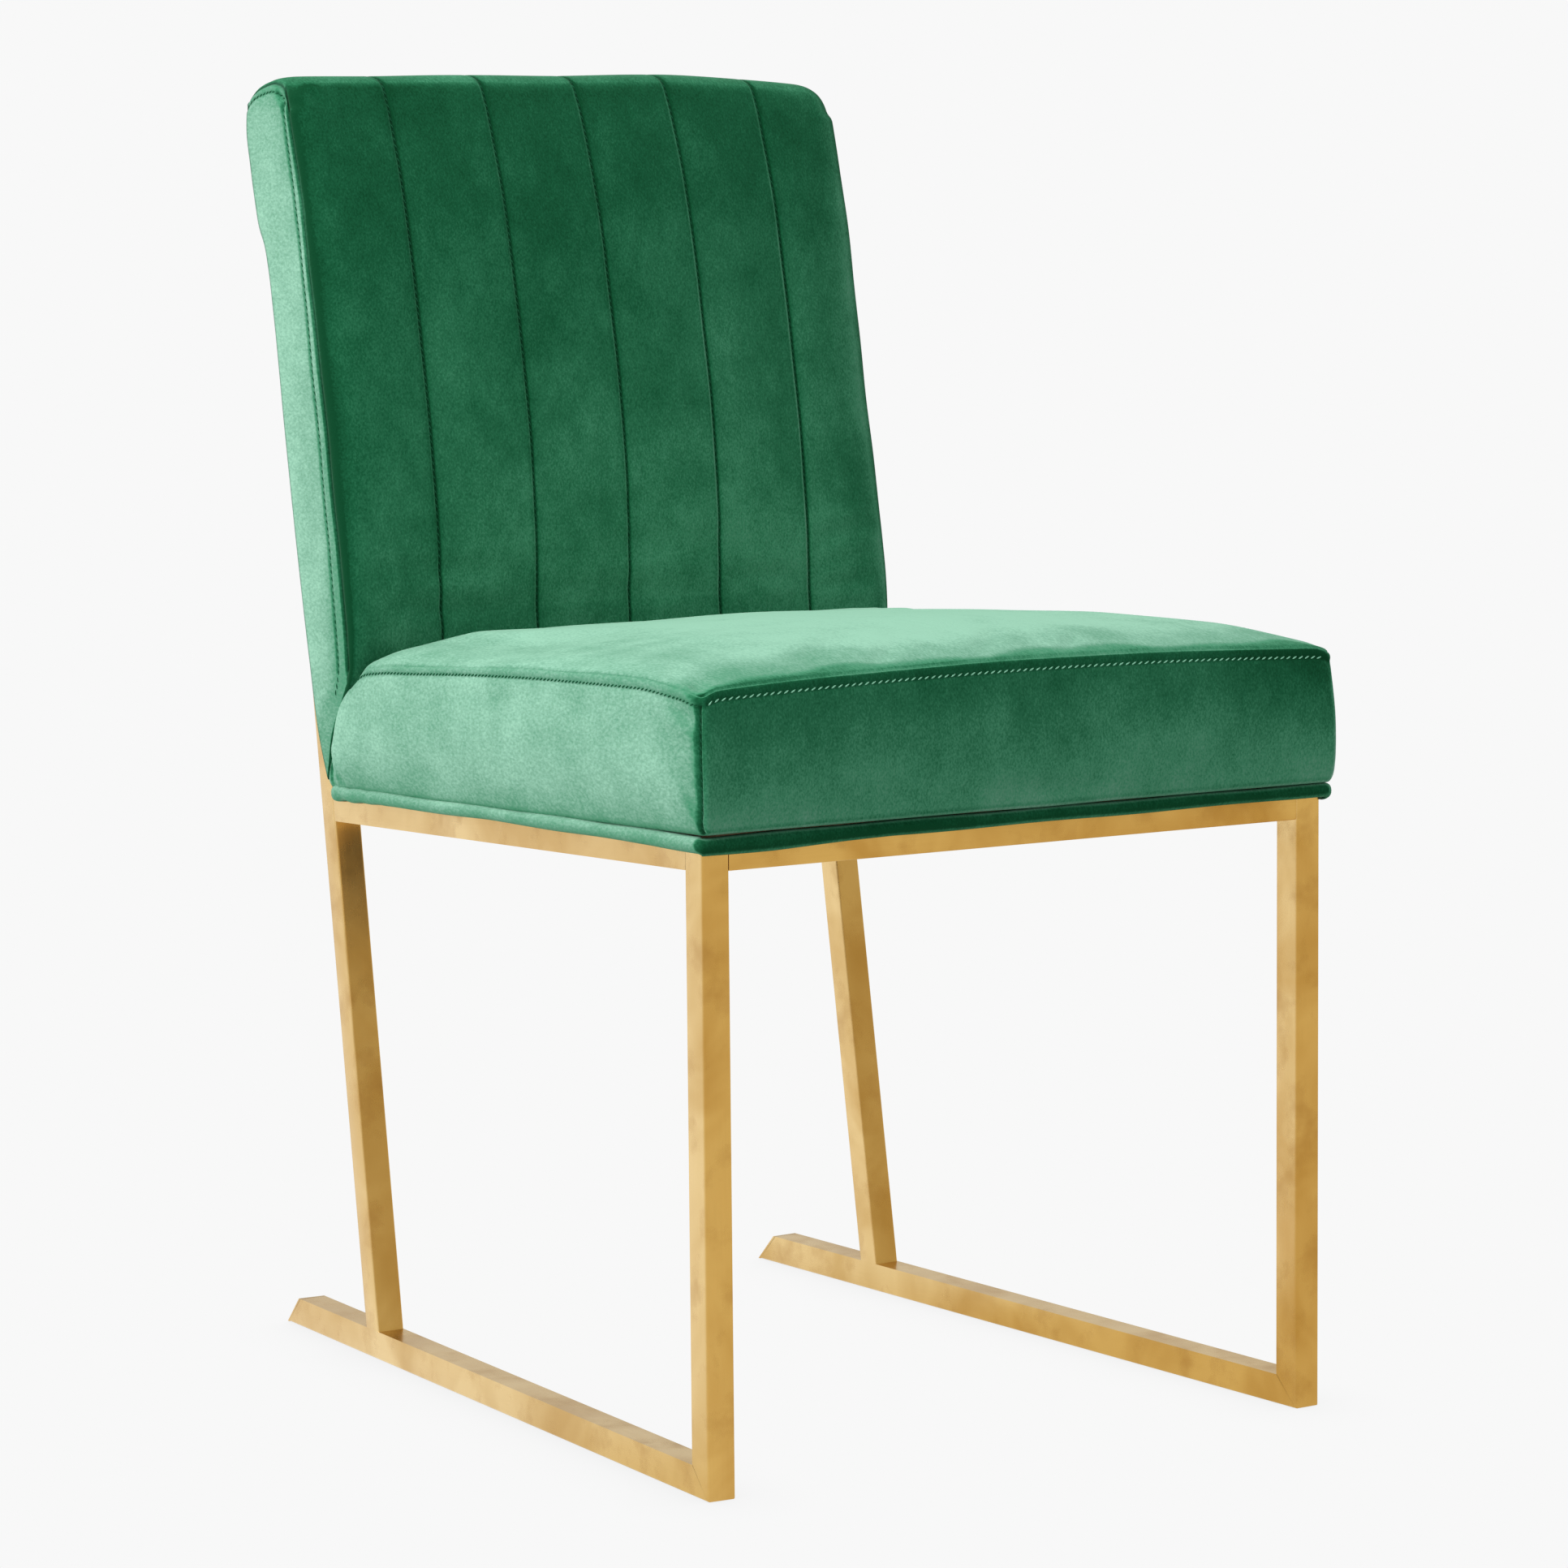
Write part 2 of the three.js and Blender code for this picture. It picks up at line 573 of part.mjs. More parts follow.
function backFoam() {
  const front = POST_DEPTH + BACK_BOARD + 2 * GAP;
  const ahead = box(BEYOND, -BEYOND, -front, 0, BACK_TOP);
  return backBlock(COVER + GAP).intersect(toSolid(ahead));
}

function hoodPad() {
  const behind = box(BACK_BOARD_HALF_WIDTH, 3 * GAP, TUBE, HOOD_BOTTOM, BACK_TOP - BACK_CORNER);
  return backBlock(COVER + GAP).intersect(toSolid(behind));
}

function backBoard() {
  const rear = -POST_DEPTH - GAP;
  const front = rear - BACK_BOARD;
  const sheet = box(BACK_BOARD_HALF_WIDTH, front, rear, BACK_BOARD_BOTTOM, BACK_BOARD_TOP);
  const radius = BOLT_RADIUS + GAP;
  let board = toSolid(sheet);
  for (const place of backBoltPlaces()) {
    const hole = new THREE.CylinderGeometry(radius, radius, BEYOND, 24);
    board = board.subtract(toSolid(hole.translate(place.x, 0, place.up)));
  }
  return board;
}

// A thin panel between the posts that closes the back below the hood.
function rearPanel() {
  const points = [...BACK_REAR_VIEW, REAR_PANEL_TOP];
  const rear = points.map(([back, up]) => new THREE.Vector2(back, up));
  const front = rear.map((point) => new THREE.Vector2(point.x - REAR_PANEL, point.y)).reverse();
  const panel = extrude([...rear, ...front], 2 * REAR_PANEL_HALF_WIDTH);
  return panel.applyMatrix4(SIDE_VIEW).translate(-REAR_PANEL_HALF_WIDTH, 0, 0);
}

function backBoltPlaces() {
  return Object.entries(BACK_BOLT_HEIGHTS).flatMap(([row, up]) =>
    [['left', -1], ['right', 1]].map(([side, sign]) => ({
      name: `${row}_${side}_backrest_bolt`,
      x: sign * (postOuter(up) - GAP - half / Math.cos(TOE_IN)),
      up,
    })));
}

function backBolts() {
  const length = POST_DEPTH + BACK_BOARD - 1;
  return backBoltPlaces().map((place) => {
    const fixing = piece(place.name, bolt(length).rotateX(Math.PI / 2), gold);
    fixing.position.set(place.x, 2 * GAP, place.up);
    return fixing;
  });
}

function topBackRail() {
  const back = POST_FOOT + TOP_RAIL_HEIGHT * leanX;
  const geometry = crossRail(-TUBE, innerHalf(back));
  const rail = piece('top_back_rail', geometry, gold);
  rail.position.z = TOP_RAIL_HEIGHT + half;
  return rail;
}

// ---------------------------------------------------------------- assembly

const seatGroup = new THREE.Group();
seatGroup.position.z = RAIL_TOP;
seatGroup.rotation.x = -SEAT_FALL;

const backGroup = new THREE.Group();
backGroup.position.y = (POST_FOOT + half / leanY) * Math.cos(TOE_IN);
backGroup.rotation.x = -LEAN;

function seatPieces() {
  return [
    rearSeatRail(),
    piece('seat_board', toGeometry(seatBoard()), plywood),
    piece('seat_foam', toGeometry(seatFoam()), foam),
    piece('seat_cover', toGeometry(seatCover()), velvet),
    piece('seat_welt', seatWelt(), velvet),
    piece('seat_dust_cover', dustCover(), blackCloth),
    ...seatFixings(),
  ];
}

function backPieces() {
  return [
    topBackRail(),
    piece('backrest_board', toGeometry(backBoard()), plywood),
    piece('backrest_foam', toGeometry(backFoam()), foam),
    piece('backrest_hood_pad', toGeometry(hoodPad()), foam),
    piece('backrest_cover', toGeometry(backCover()), velvet),
    piece('backrest_rear_panel', rearPanel(), velvet),
    ...backBolts(),
  ];
}

seatGroup.add(...seatPieces());
backGroup.add(...backPieces());

const chair = new THREE.Group();
chair.add(sideFrame('left'), sideFrame('right'), frontSeatRail(), seatGroup, backGroup);

// Centre the chair over the origin.
const extent = new THREE.Box3().setFromObject(chair);
chair.position.y = -(extent.min.y + extent.max.y) / 2;

export default chair;
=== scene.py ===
"""Looks of the dining chair: upholstery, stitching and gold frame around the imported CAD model.

Soft pieces are drawn in two local frames, in millimetres, and then placed in the CAD frame:
the seat frame (x, back, up) lies on the plane of the rail tops, and the back frame (x, ahead, along)
is measured ahead of the rear faces of the posts and along them.
"""
import math

import bmesh
import bpy
import numpy as np
from mathutils import Matrix, Vector
from mathutils.kdtree import KDTree


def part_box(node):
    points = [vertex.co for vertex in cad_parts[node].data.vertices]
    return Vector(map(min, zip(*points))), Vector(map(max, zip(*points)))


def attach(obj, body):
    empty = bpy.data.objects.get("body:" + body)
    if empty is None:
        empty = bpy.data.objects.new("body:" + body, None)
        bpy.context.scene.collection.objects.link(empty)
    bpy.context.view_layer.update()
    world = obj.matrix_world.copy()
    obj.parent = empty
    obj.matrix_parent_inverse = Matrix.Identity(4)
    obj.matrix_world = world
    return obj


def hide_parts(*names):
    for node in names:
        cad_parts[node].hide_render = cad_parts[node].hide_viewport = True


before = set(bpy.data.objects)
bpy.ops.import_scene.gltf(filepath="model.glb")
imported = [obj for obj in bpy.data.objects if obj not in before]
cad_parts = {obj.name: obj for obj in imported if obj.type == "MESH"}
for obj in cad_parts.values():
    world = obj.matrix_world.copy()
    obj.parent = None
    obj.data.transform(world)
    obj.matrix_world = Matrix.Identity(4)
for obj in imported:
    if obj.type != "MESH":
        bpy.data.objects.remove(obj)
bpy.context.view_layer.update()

MM = 0.001

# ---- frame geometry, as in the CAD
TUBE = 20.0
GAP = 0.3
TOE_IN = math.atan(0.0466)
SEAT_FALL = math.atan(0.0435)
LEAN = math.atan(0.159)
POST_LENGTH = 880.0
FRAME_HALF_WIDTH = 240.0

# ---- seat, in the seat frame
SEAT_OVERHANG = 6.8
SEAT_FRONT = -14.5
SEAT_BACK = 536.0
SEAT_BASE = 3.4
SEAT_SEAM = 98.8
SEAT_EDGE_REACH = 50  # the top panel swells within this distance of its side seams
SEAT_EDGE_RISE = (10.0, 17.5)  # by this much in front and at the rear, before the cloth swells it
SEAT_CROWN = (9.0, -2.0)  # and arches up by this much more to its middle
SEAT_CHANGE = (300, 440)  # the front's form turns into the rear's between these
SEAT_CORNER = 7.0
CORNER_DIP = 3.5  # the top seam dips at the front corners,
CORNER_REACH = 15  # within this distance of them
FRONT_ARCH = 2.6  # the front's top seam rises this much at its middle
FRONT_ARCH_LEVEL = 155  # and is level with the sides this far from it, sinking beyond
FRONT_ARCH_FADE = (70, 5)  # the arch grows between these distances behind the frame's front
SEAT_TOP_VIEW = [
    (-12.6, 97), (10, 97.8), (40, 98.6), (130, 99.4), (220, 99.2),
    (310, 97.5), (390, 94.7), (440, 92.8), (472, 89), (496, 76.5),
]
SEAT_REAR_VIEW = [
    (SEAT_BACK - 1, SEAT_BASE), (534, 25), (526, 43), (516, 61), (496, 76.5),
]
SEAT_FRONT_VIEW = [(-11.5, SEAT_BASE), (-13.5, 20), (-14.5, 45), (-12.6, 97)]
SEAT_TUCK = 3.5  # the sides draw in this much at the base,
TUCK_SHARE = 0.08  # over this share of the height,
SEAT_LEAN = 2.5  # and this much at the top seam,
LEAN_SHARE = 0.45  # from this share of the height upwards
BAND = 7.2  # from a seam to the row of stitches beside it

# ---- backrest, in the back frame
BACK_HALF_WIDTH = 222.0
BACK_TOP = 898.5
BACK_EDGE_RISE = 12  # the front swells round its side seams by this much ahead,
BACK_EDGE_REACH = 14  # within this distance of them,
BACK_EDGE_LIP = 3  # and hangs over them by this much,
EDGE_START = 430  # from this height,
EDGE_FULL = 500  # and fully from this one
BACK_CROWN = 19  # the middle stands this much further ahead, with 3 mm from the cloth,
CROWN_HEIGHT = 690  # at this height; that falls away to nothing
CROWN_BELOW = 175  # this far below
CROWN_ABOVE = 270  # and this far above
HOOD_BOTTOM = 768.0
BACK_HEM = 5.0
BACK_RECESS = 22.0
CHANNEL_SEAMS = (-152, -75.5, 0, 75.5, 152)
BACK_FRONT_VIEW = [
    (31, 415), (40, 435), (57, 455), (70, 470), (74.5, 495), (76, 550),
    (74.5, 600), (72.5, 665), (70, 740), (67.5, 800), (64, 840), (60, 870),
]
BACK_TOP_VIEW = [(60, 870), (52, 892), (40, 897.5), (25, BACK_TOP), (8, 896), (-1, 890)]
BACK_HOOD_VIEW = [
    (7.5, HOOD_BOTTOM), (4.5, 786), (-0.5, 797), (-3.5, 815), (-6, 845), (-7, 866),
    (-1, 890),
]
BACK_REAR_VIEW = [
    (28, 405), (21.5, 430), (15.5, 495), (12.5, 556), (10, 650), (9, 740),
    (7.5, HOOD_BOTTOM),
]
PANEL_BOTTOM = 430.0
PANEL_TOP = 765.0
PANEL_HALF_WIDTH = 190.5
PANEL_THICKNESS = 2.5

# ---- local frames

leg_low, leg_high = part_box("left_front_leg")
post_low, post_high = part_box("left_rear_leg_and_back_post")
SEAT_ORIGIN = Vector((0, leg_low.y + TUBE * math.sin(TOE_IN) * MM, leg_high.z))
BACK_ORIGIN = Vector((0, post_high.y - POST_LENGTH * math.sin(LEAN) * MM, 0))


def from_seat(points):
    """Points (x, back, up) in millimetres in the seat frame, as metres in the CAD frame."""
    x, back, up = np.asarray(points, float).T * MM
    c, s = math.cos(SEAT_FALL), math.sin(SEAT_FALL)
    return np.stack([x, SEAT_ORIGIN.y + back * c + up * s, SEAT_ORIGIN.z - back * s + up * c], 1)


def to_seat(points):
    """Points in metres in the CAD frame, as millimetres (x, back, up) in the seat frame."""
    x, y, z = (np.asarray(points, float) - np.array(SEAT_ORIGIN)).T / MM
    c, s = math.cos(SEAT_FALL), math.sin(SEAT_FALL)
    return np.stack([x, y * c - z * s, y * s + z * c], 1)


def from_back(points):
    """Points (x, ahead, along) in millimetres in the back frame, as metres in the CAD frame."""
    x, ahead, along = np.asarray(points, float).T * MM
    c, s = math.cos(LEAN), math.sin(LEAN)
    return np.stack([x, BACK_ORIGIN.y - ahead * c + along * s, ahead * s + along * c], 1)


def to_back(points):
    """Points in metres in the CAD frame, as millimetres (x, ahead, along) in the back frame."""
    x, y, z = (np.asarray(points, float) - np.array(BACK_ORIGIN)).T / MM
    c, s = math.cos(LEAN), math.sin(LEAN)
    return np.stack([x, z * s - y * c, y * s + z * c], 1)


# ---- mesh helpers

def box_grid(counts):
    """The grid points (i, j, k) on the surface of a box, its quads facing outwards, and the number
    of the point at each place."""
    number, places, quads = {}, [], []

    def corner(place):
        if place not in number:
            number[place] = len(places)
            places.append(place)
        return number[place]

    for axis in range(3):
        a, b = [n for n in range(3) if n != axis]
        for level in (0, counts[axis]):
            outward = (level > 0) != (axis == 1)
            for i in range(counts[a]):
                for j in range(counts[b]):
                    ring = []
                    for da, db in ((0, 0), (1, 0), (1, 1), (0, 1)):
                        place = [level] * 3
                        place[a], place[b] = i + da, j + db
                        ring.append(corner(tuple(place)))
                    quads.append(ring if outward else ring[::-1])
    return np.array(places), quads, number


def new_piece(name, points, faces):
    mesh = bpy.data.meshes.new(name)
    mesh.from_pydata([tuple(p) for p in points], [], faces)
    mesh.update()
    mesh.shade_smooth()
    piece = bpy.data.objects.new(name, mesh)
    bpy.context.scene.collection.objects.link(piece)
    return piece


def read_points(mesh):
    flat = np.empty(len(mesh.vertices) * 3)
    mesh.vertices.foreach_get("co", flat)
    return flat.reshape(-1, 3)


def write_points(mesh, points):
    mesh.vertices.foreach_set("co", np.asarray(points, float).ravel())
    mesh.update()


def read_normals(mesh):
    flat = np.empty(len(mesh.vertices) * 3)
    mesh.vertex_normals.foreach_get("vector", flat)
    return flat.reshape(-1, 3)


def write_value(mesh, name, values):
    """Stores one number for each point, for a material to read."""
    attribute = mesh.attributes.new(name, "FLOAT", "POINT")
    attribute.data.foreach_set("value", np.asarray(values, np.float32))


def run_lengths(line):
    """Distance from the start of a line to each of its points."""
    steps = np.linalg.norm(np.diff(line, axis=0), axis=1)
    return np.concatenate([[0], np.cumsum(steps)])


def at_shares(line, run, share):
    line = np.asarray(line)
    return np.stack([np.interp(share, run, line[:, n]) for n in range(line.shape[1])], -1)


def catmull(knots, values, at):
    """Cubic interpolation of values at knots, with slopes taken from the neighbours."""
    slopes = np.gradient(values, knots)
    cell = np.clip(np.searchsorted(knots, at, side="right") - 1, 0, len(knots) - 2)
    width = knots[cell + 1] - knots[cell]
    t = (at - knots[cell]) / width
    return ((1 + 2 * t) * (1 - t) ** 2 * values[cell] + t * (1 - t) ** 2 * width * slopes[cell]
            + t ** 2 * (3 - 2 * t) * values[cell + 1] + t ** 2 * (t - 1) * width * slopes[cell + 1])


def along_line(line, share):
    """Points at the given shares of the length of a smooth line through the given points."""
    line = np.asarray(line, float)
    run = run_lengths(line)
    fine = np.linspace(0, run[-1], 400)
    smooth = np.stack([catmull(run, line[:, n], fine) for n in range(line.shape[1])], 1)
    smooth_run = run_lengths(smooth)
    return at_shares(smooth, smooth_run / smooth_run[-1], share)


def coons(front, back, bottom, top, v, w):
    """A patch between four lines: v runs from the front line to the back one, w from bottom to top."""
    f, r = along_line(front, w), along_line(back, w)
    lo, hi = along_line(bottom, v), along_line(top, v)
    v, w = v[:, None], w[:, None]
    corners = ((1 - v) * (1 - w) * np.array(bottom[0]) + v * (1 - w) * np.array(bottom[-1])
               + (1 - v) * w * np.array(top[0]) + v * w * np.array(top[-1]))
    return (1 - v) * f + v * r + (1 - w) * lo + w * hi - corners


def round_corner(x, y, half_x, high_y, radius):
    """Moves points near the corner (±half_x, high_y) of a square outline on to a round one."""
    p = np.clip((np.abs(x) - half_x) / radius + 1, 0, None)
    q = np.clip((y - high_y) / radius + 1, 0, None)
    both = (p > 0) & (q > 0)
    new_p = np.where(both, p * np.sqrt(np.clip(1 - q * q / 2, 0, None)), p)
    new_q = np.where(both, q * np.sqrt(np.clip(1 - p * p / 2, 0, None)), q)
    return np.sign(x) * (np.abs(x) + (new_p - p) * radius), y + (new_q - q) * radius


PUFF_PRESSURE = 2.5
PUFF_CAP = 4 * MM
PUFF_FRAMES = 20


def puff(piece, pinned):
    """Swells a closed piece as cloth under pressure. Pinned points stay where they are."""
    rest = read_points(piece.data)
    group = piece.vertex_groups.new(name="pinned")
    group.add([int(n) for n in pinned], 1.0, "REPLACE")
    cloth = piece.modifiers.new("cloth", "CLOTH")
    cloth.settings.quality = 4
    cloth.settings.mass = 0.3
    cloth.settings.tension_stiffness = 12
    cloth.settings.compression_stiffness = 12
    cloth.settings.bending_stiffness = 0.4
    cloth.settings.use_pressure = True
    cloth.settings.uniform_pressure_force = PUFF_PRESSURE
    cloth.settings.vertex_group_mass = group.name
    cloth.settings.effector_weights.gravity = 0
    cloth.collision_settings.use_collision = False
    cloth.point_cache.frame_start = 1
    cloth.point_cache.frame_end = PUFF_FRAMES
    scene = bpy.context.scene
    for number in range(1, PUFF_FRAMES + 1):
        scene.frame_set(number)
    graph = bpy.context.evaluated_depsgraph_get()
    moved = read_points(piece.evaluated_get(graph).data)
    piece.modifiers.remove(cloth)
    piece.vertex_groups.remove(group)
    scene.frame_set(1)
    shift = moved - rest
    length = np.linalg.norm(shift, axis=1, keepdims=True)
    write_points(piece.data, rest + shift * np.minimum(1, PUFF_CAP / np.maximum(length, 1e-9)))


def subdivide(piece):
    modifier = piece.modifiers.new("subdivision", "SUBSURF")
    modifier.levels = 1
    modifier.render_levels = 1
    graph = bpy.context.evaluated_depsgraph_get()
    finer = bpy.data.meshes.new_from_object(piece.evaluated_get(graph))
    piece.modifiers.remove(modifier)
    old = piece.data
    piece.data = finer
    bpy.data.meshes.remove(old)
    finer.shade_smooth()


def clustered(count, edge=0.35):
    """Shares from 0 to 1, closer together at both ends; a smaller edge gathers them more."""
    t = np.linspace(0, 1, count + 1)
    return t - (1 - edge) * np.sin(2 * np.pi * t) / (2 * np.pi)


def two_part(count, rows, share):
    """Shares from 0 to 1 in even steps, with the last rows evenly filling the last share."""
    lower = np.linspace(0, 1 - share, count - rows + 1)
    upper = np.linspace(1 - share, 1, rows + 1)
    return np.concatenate([lower, upper[1:]])


def smooth_step(value, start, end):
    """Grows smoothly from 0 at start to 1 at end; end may be the smaller of the two."""
    t = np.clip((value - start) / (end - start), 0, 1)
    return t * t * (3 - 2 * t)


def fade(value, change, start, end):
    """A change that grows to its full size as the value goes from start to end."""
    return change * smooth_step(value, start, end)


def fades(places, rows):
    """Sum of such changes, each along its own coordinate."""
    return sum(fade(places[:, axis], *row) for axis, *row in rows)


# ---- materials

def material(name):
    """A new material, its node tree and shader, and the place on the object."""
    made = bpy.data.materials.new(name)
    made.use_nodes = True
    tree = made.node_tree
    where = add(tree, "ShaderNodeTexCoord").outputs["Object"]
    return made, tree, tree.nodes["Principled BSDF"], where


def settle(shader, tone, settings):
    """Sets a shader's colour from a socket and its other inputs from plain values."""
    shader.id_data.links.new(tone, shader.inputs["Base Color"])
    for key, value in settings.items():
        shader.inputs[key].default_value = value


def add(tree, kind, inputs=None, **settings):
    made = tree.nodes.new(kind)
    for key, value in settings.items():
        setattr(made, key, value)
    for key, value in (inputs or {}).items():
        if isinstance(value, bpy.types.NodeSocket):
            tree.links.new(value, made.inputs[key])
        else:
            made.inputs[key].default_value = value
    return made


def ramp(tree, value, stops):
    """Numbers or colours between stops (position, number or colour)."""
    made = add(tree, "ShaderNodeValToRGB", {"Fac": value})
    while len(made.color_ramp.elements) < len(stops):
        made.color_ramp.elements.new(0.5)
    for element, (position, color) in zip(made.color_ramp.elements, stops):
        element.position = position
        element.color = (color, color, color, 1) if isinstance(color, float) else (*color, 1)
    return made.outputs["Color"]


def blend_color(tree, share, first, second):
    made = tree.nodes.new("ShaderNodeMix")
    made.data_type = "RGBA"
    for socket, value in ((made.inputs[0], share), (made.inputs[6], first), (made.inputs[7], second)):
        if isinstance(value, bpy.types.NodeSocket):
            tree.links.new(value, socket)
        else:
            socket.default_value = (*value, 1)
    return made.outputs[2]


def calculate(tree, operation, first, second):
    return add(tree, "ShaderNodeMath", {0: first, 1: second}, operation=operation).outputs[0]


def rescale(tree, value, low, high, new_low, new_high):
    return add(tree, "ShaderNodeMapRange", {
        "Value": value, "From Min": low, "From Max": high, "To Min": new_low, "To Max": new_high,
    }).outputs["Result"]


def noise(tree, where, scale, detail=3.0, roughness=0.55, distortion=0.0):
    return add(tree, "ShaderNodeTexNoise", {
        "Vector": where, "Scale": scale, "Detail": detail, "Roughness": roughness,
        "Distortion": distortion}).outputs["Fac"]


def bump(tree, height, strength, distance, below=None):
    made = add(tree, "ShaderNodeBump", {"Strength": strength, "Distance": distance, "Height": height})
    if below:
        tree.links.new(below, made.inputs["Normal"])
    return made.outputs["Normal"]


# velvet colours from dark to pale; the pale end is painted sheen and painted light
LOWEST_TONE = -0.25
VELVET_TONES = [
    (LOWEST_TONE, (0.001, 0.054, 0.018)), (0.0, (0.007, 0.098, 0.040)), (0.2, (0.022, 0.158, 0.074)),
    (0.4, (0.056, 0.250, 0.135)), (0.6, (0.104, 0.294, 0.186)), (0.8, (0.190, 0.400, 0.285)),
    (1.0, (0.286, 0.540, 0.400)),
]


def velvet_material():
    """Pile cloth with a painted sheen: dark seen straight on, pale at a slant, with brushed patches and
    pale flecks, and painted light and shade written on each piece.
    """
    made, tree, shader, where = material("green_velvet")
    slanted = add(tree, "ShaderNodeMapping", {
        "Vector": where, "Rotation": (0.5, 0.6, 0.7), "Scale": (1.0, 0.35, 0.7)}).outputs["Vector"]
    patches = rescale(tree, noise(tree, where, 17, 3, 0.5), 0.3, 0.7, -0.08, 0.08)
    brushed = rescale(tree, noise(tree, slanted, 75, 3, 0.6), 0.3, 0.7, -0.05, 0.05)
    flecks = noise(tree, slanted, 800, 2, 0.6)
    # painted sheen: the colour is dark where the cloth is seen straight on and pale at a slant
    facing = add(tree, "ShaderNodeLayerWeight", {"Blend": 0.5}).outputs["Facing"]
    tone = ramp(tree, facing, [(0.12, 0.22), (0.25, 0.27), (0.46, 0.80), (0.75, 0.88), (1.0, 0.90)])
    # painted light and shade written on each piece, with some brushed pile
    pile_and_painted_light = add(tree, "ShaderNodeAttribute", attribute_name="pile_and_painted_light").outputs["Fac"]
    for part in (patches, brushed, rescale(tree, flecks, 0.3, 0.7, -0.11, 0.13), pile_and_painted_light):
        tone = calculate(tree, "ADD", tone, part)
    span = 1 - LOWEST_TONE
    stops = [((place - LOWEST_TONE) / span, color) for place, color in VELVET_TONES]
    pile = ramp(tree, rescale(tree, tone, LOWEST_TONE, 1.0, 0.0, 1.0), stops)
    # painted shade in the seams darkens both the colour and the sheen
    shade = add(tree, "ShaderNodeAttribute", attribute_name="shade").outputs["Fac"]
    keep = rescale(tree, shade, 0.0, 1.0, 1.0, 0.12)
    tint = add(tree, "ShaderNodeVectorMath", {0: pile, "Scale": keep}, operation="SCALE").outputs[0]
    settle(shader, tint, {"Roughness": 0.9, "Specular IOR Level": 0.1,
                          "Sheen Roughness": 0.45, "Sheen Tint": (0.45, 0.95, 0.68, 1)})
    tree.links.new(calculate(tree, "MULTIPLY", keep, 0.12), shader.inputs["Sheen Weight"])
    relief = bump(tree, flecks, 0.45, 0.0006)
    relief = bump(tree, brushed, 0.5, 0.006, relief)
    tree.links.new(relief, shader.inputs["Normal"])
    return made


def thread_material(name, dark, light):
    made, tree, shader, where = material(name)
    tone = blend_color(tree, noise(tree, where, 900, 2), dark, light)
    settle(shader, tone, {"Roughness": 0.9, "Specular IOR Level": 0.1})
    return made


def gold_material():
    """Brushed gold plate: fine lines along each tube, cloudy patches and worn spots."""
    made, tree, shader, where = material("brushed_gold")
    along_tube = add(tree, "ShaderNodeAttribute", attribute_name="brushed").outputs["Vector"]
    patches = noise(tree, where, 11, 3, 0.55, 0.6)
    worn = noise(tree, where, 34, 3, 0.6)
    lines = noise(tree, along_tube, 900, 3, 0.6)
    tone = blend_color(tree, ramp(tree, patches, [(0.36, 0.0), (0.64, 1.0)]),
                       (0.66, 0.43, 0.16), (0.84, 0.62, 0.30))
    tone = blend_color(tree, ramp(tree, worn, [(0.52, 0.0), (0.72, 0.4)]), tone, (0.50, 0.28, 0.09))
    tone = blend_color(tree, ramp(tree, lines, [(0.5, 0.0), (0.85, 0.12)]), tone, (0.60, 0.40, 0.16))
    settle(shader, tone, {"Metallic": 1.0})
    rough = rescale(tree, lines, 0.0, 1.0, 0.18, 0.26)
    rough = calculate(tree, "ADD", rough, rescale(tree, worn, 0.4, 0.8, 0.0, 0.12))
    tree.links.new(rough, shader.inputs["Roughness"])
    relief = bump(tree, patches, 0.15, 0.003, bump(tree, lines, 0.05, 0.0002))
    tree.links.new(relief, shader.inputs["Normal"])
    return made


def zinc_material():
    made, tree, shader, where = material("zinc_steel")
    grains = add(tree, "ShaderNodeTexVoronoi", {"Vector": where, "Scale": 700}).outputs["Distance"]
    tone = blend_color(tree, grains, (0.35, 0.35, 0.34), (0.6, 0.6, 0.6))
    settle(shader, tone, {"Metallic": 1.0, "Roughness": 0.35})
    return made


def plywood_material():
    made, tree, shader, where = material("plywood")
    along = add(tree, "ShaderNodeMapping", {"Vector": where, "Scale": (40, 3, 300)}).outputs["Vector"]
    veins = noise(tree, along, 2, 5, 0.65, 0.8)
    tone = blend_color(tree, veins, (0.38, 0.24, 0.12), (0.66, 0.49, 0.29))
    settle(shader, tone, {"Roughness": 0.7})
    return made


def black_cloth_material():
    made, tree, shader, where = material("black_cloth")
    fibres = noise(tree, where, 600, 3)
    tone = blend_color(tree, fibres, (0.006, 0.006, 0.007), (0.03, 0.03, 0.032))
    settle(shader, tone, {"Roughness": 0.95})
    tree.links.new(bump(tree, fibres, 0.4, 0.0004), shader.inputs["Normal"])
    return made


VELVET = velvet_material()
THREAD = thread_material("green_thread", (0.004, 0.060, 0.024), (0.014, 0.120, 0.055))
PALE_THREAD = thread_material("pale_green_thread", (0.16, 0.46, 0.30), (0.34, 0.70, 0.50))
GOLD = gold_material()
ZINC = zinc_material()
PLYWOOD = plywood_material()
BLACK_CLOTH = black_cloth_material()


def finish_piece(piece, look, slot, *replaced):
    piece.data.materials.clear()
    piece.data.materials.append(look)
    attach(piece, "root")
    if replaced:
        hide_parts(*replaced)
    return piece


# ---- stitches, seams and folds

STITCH_PITCH = 5.0
STITCH_LENGTH = 3.5
STITCH_SLANT = 0.8  # each end of a thread lies this far to one side of the row


def thread_ring(centre, radius, across, up, sides):
    turns = [2 * math.pi * side / sides for side in range(sides)]
    return [centre + radius * (math.cos(turn) * across + math.sin(turn) * up) for turn in turns]


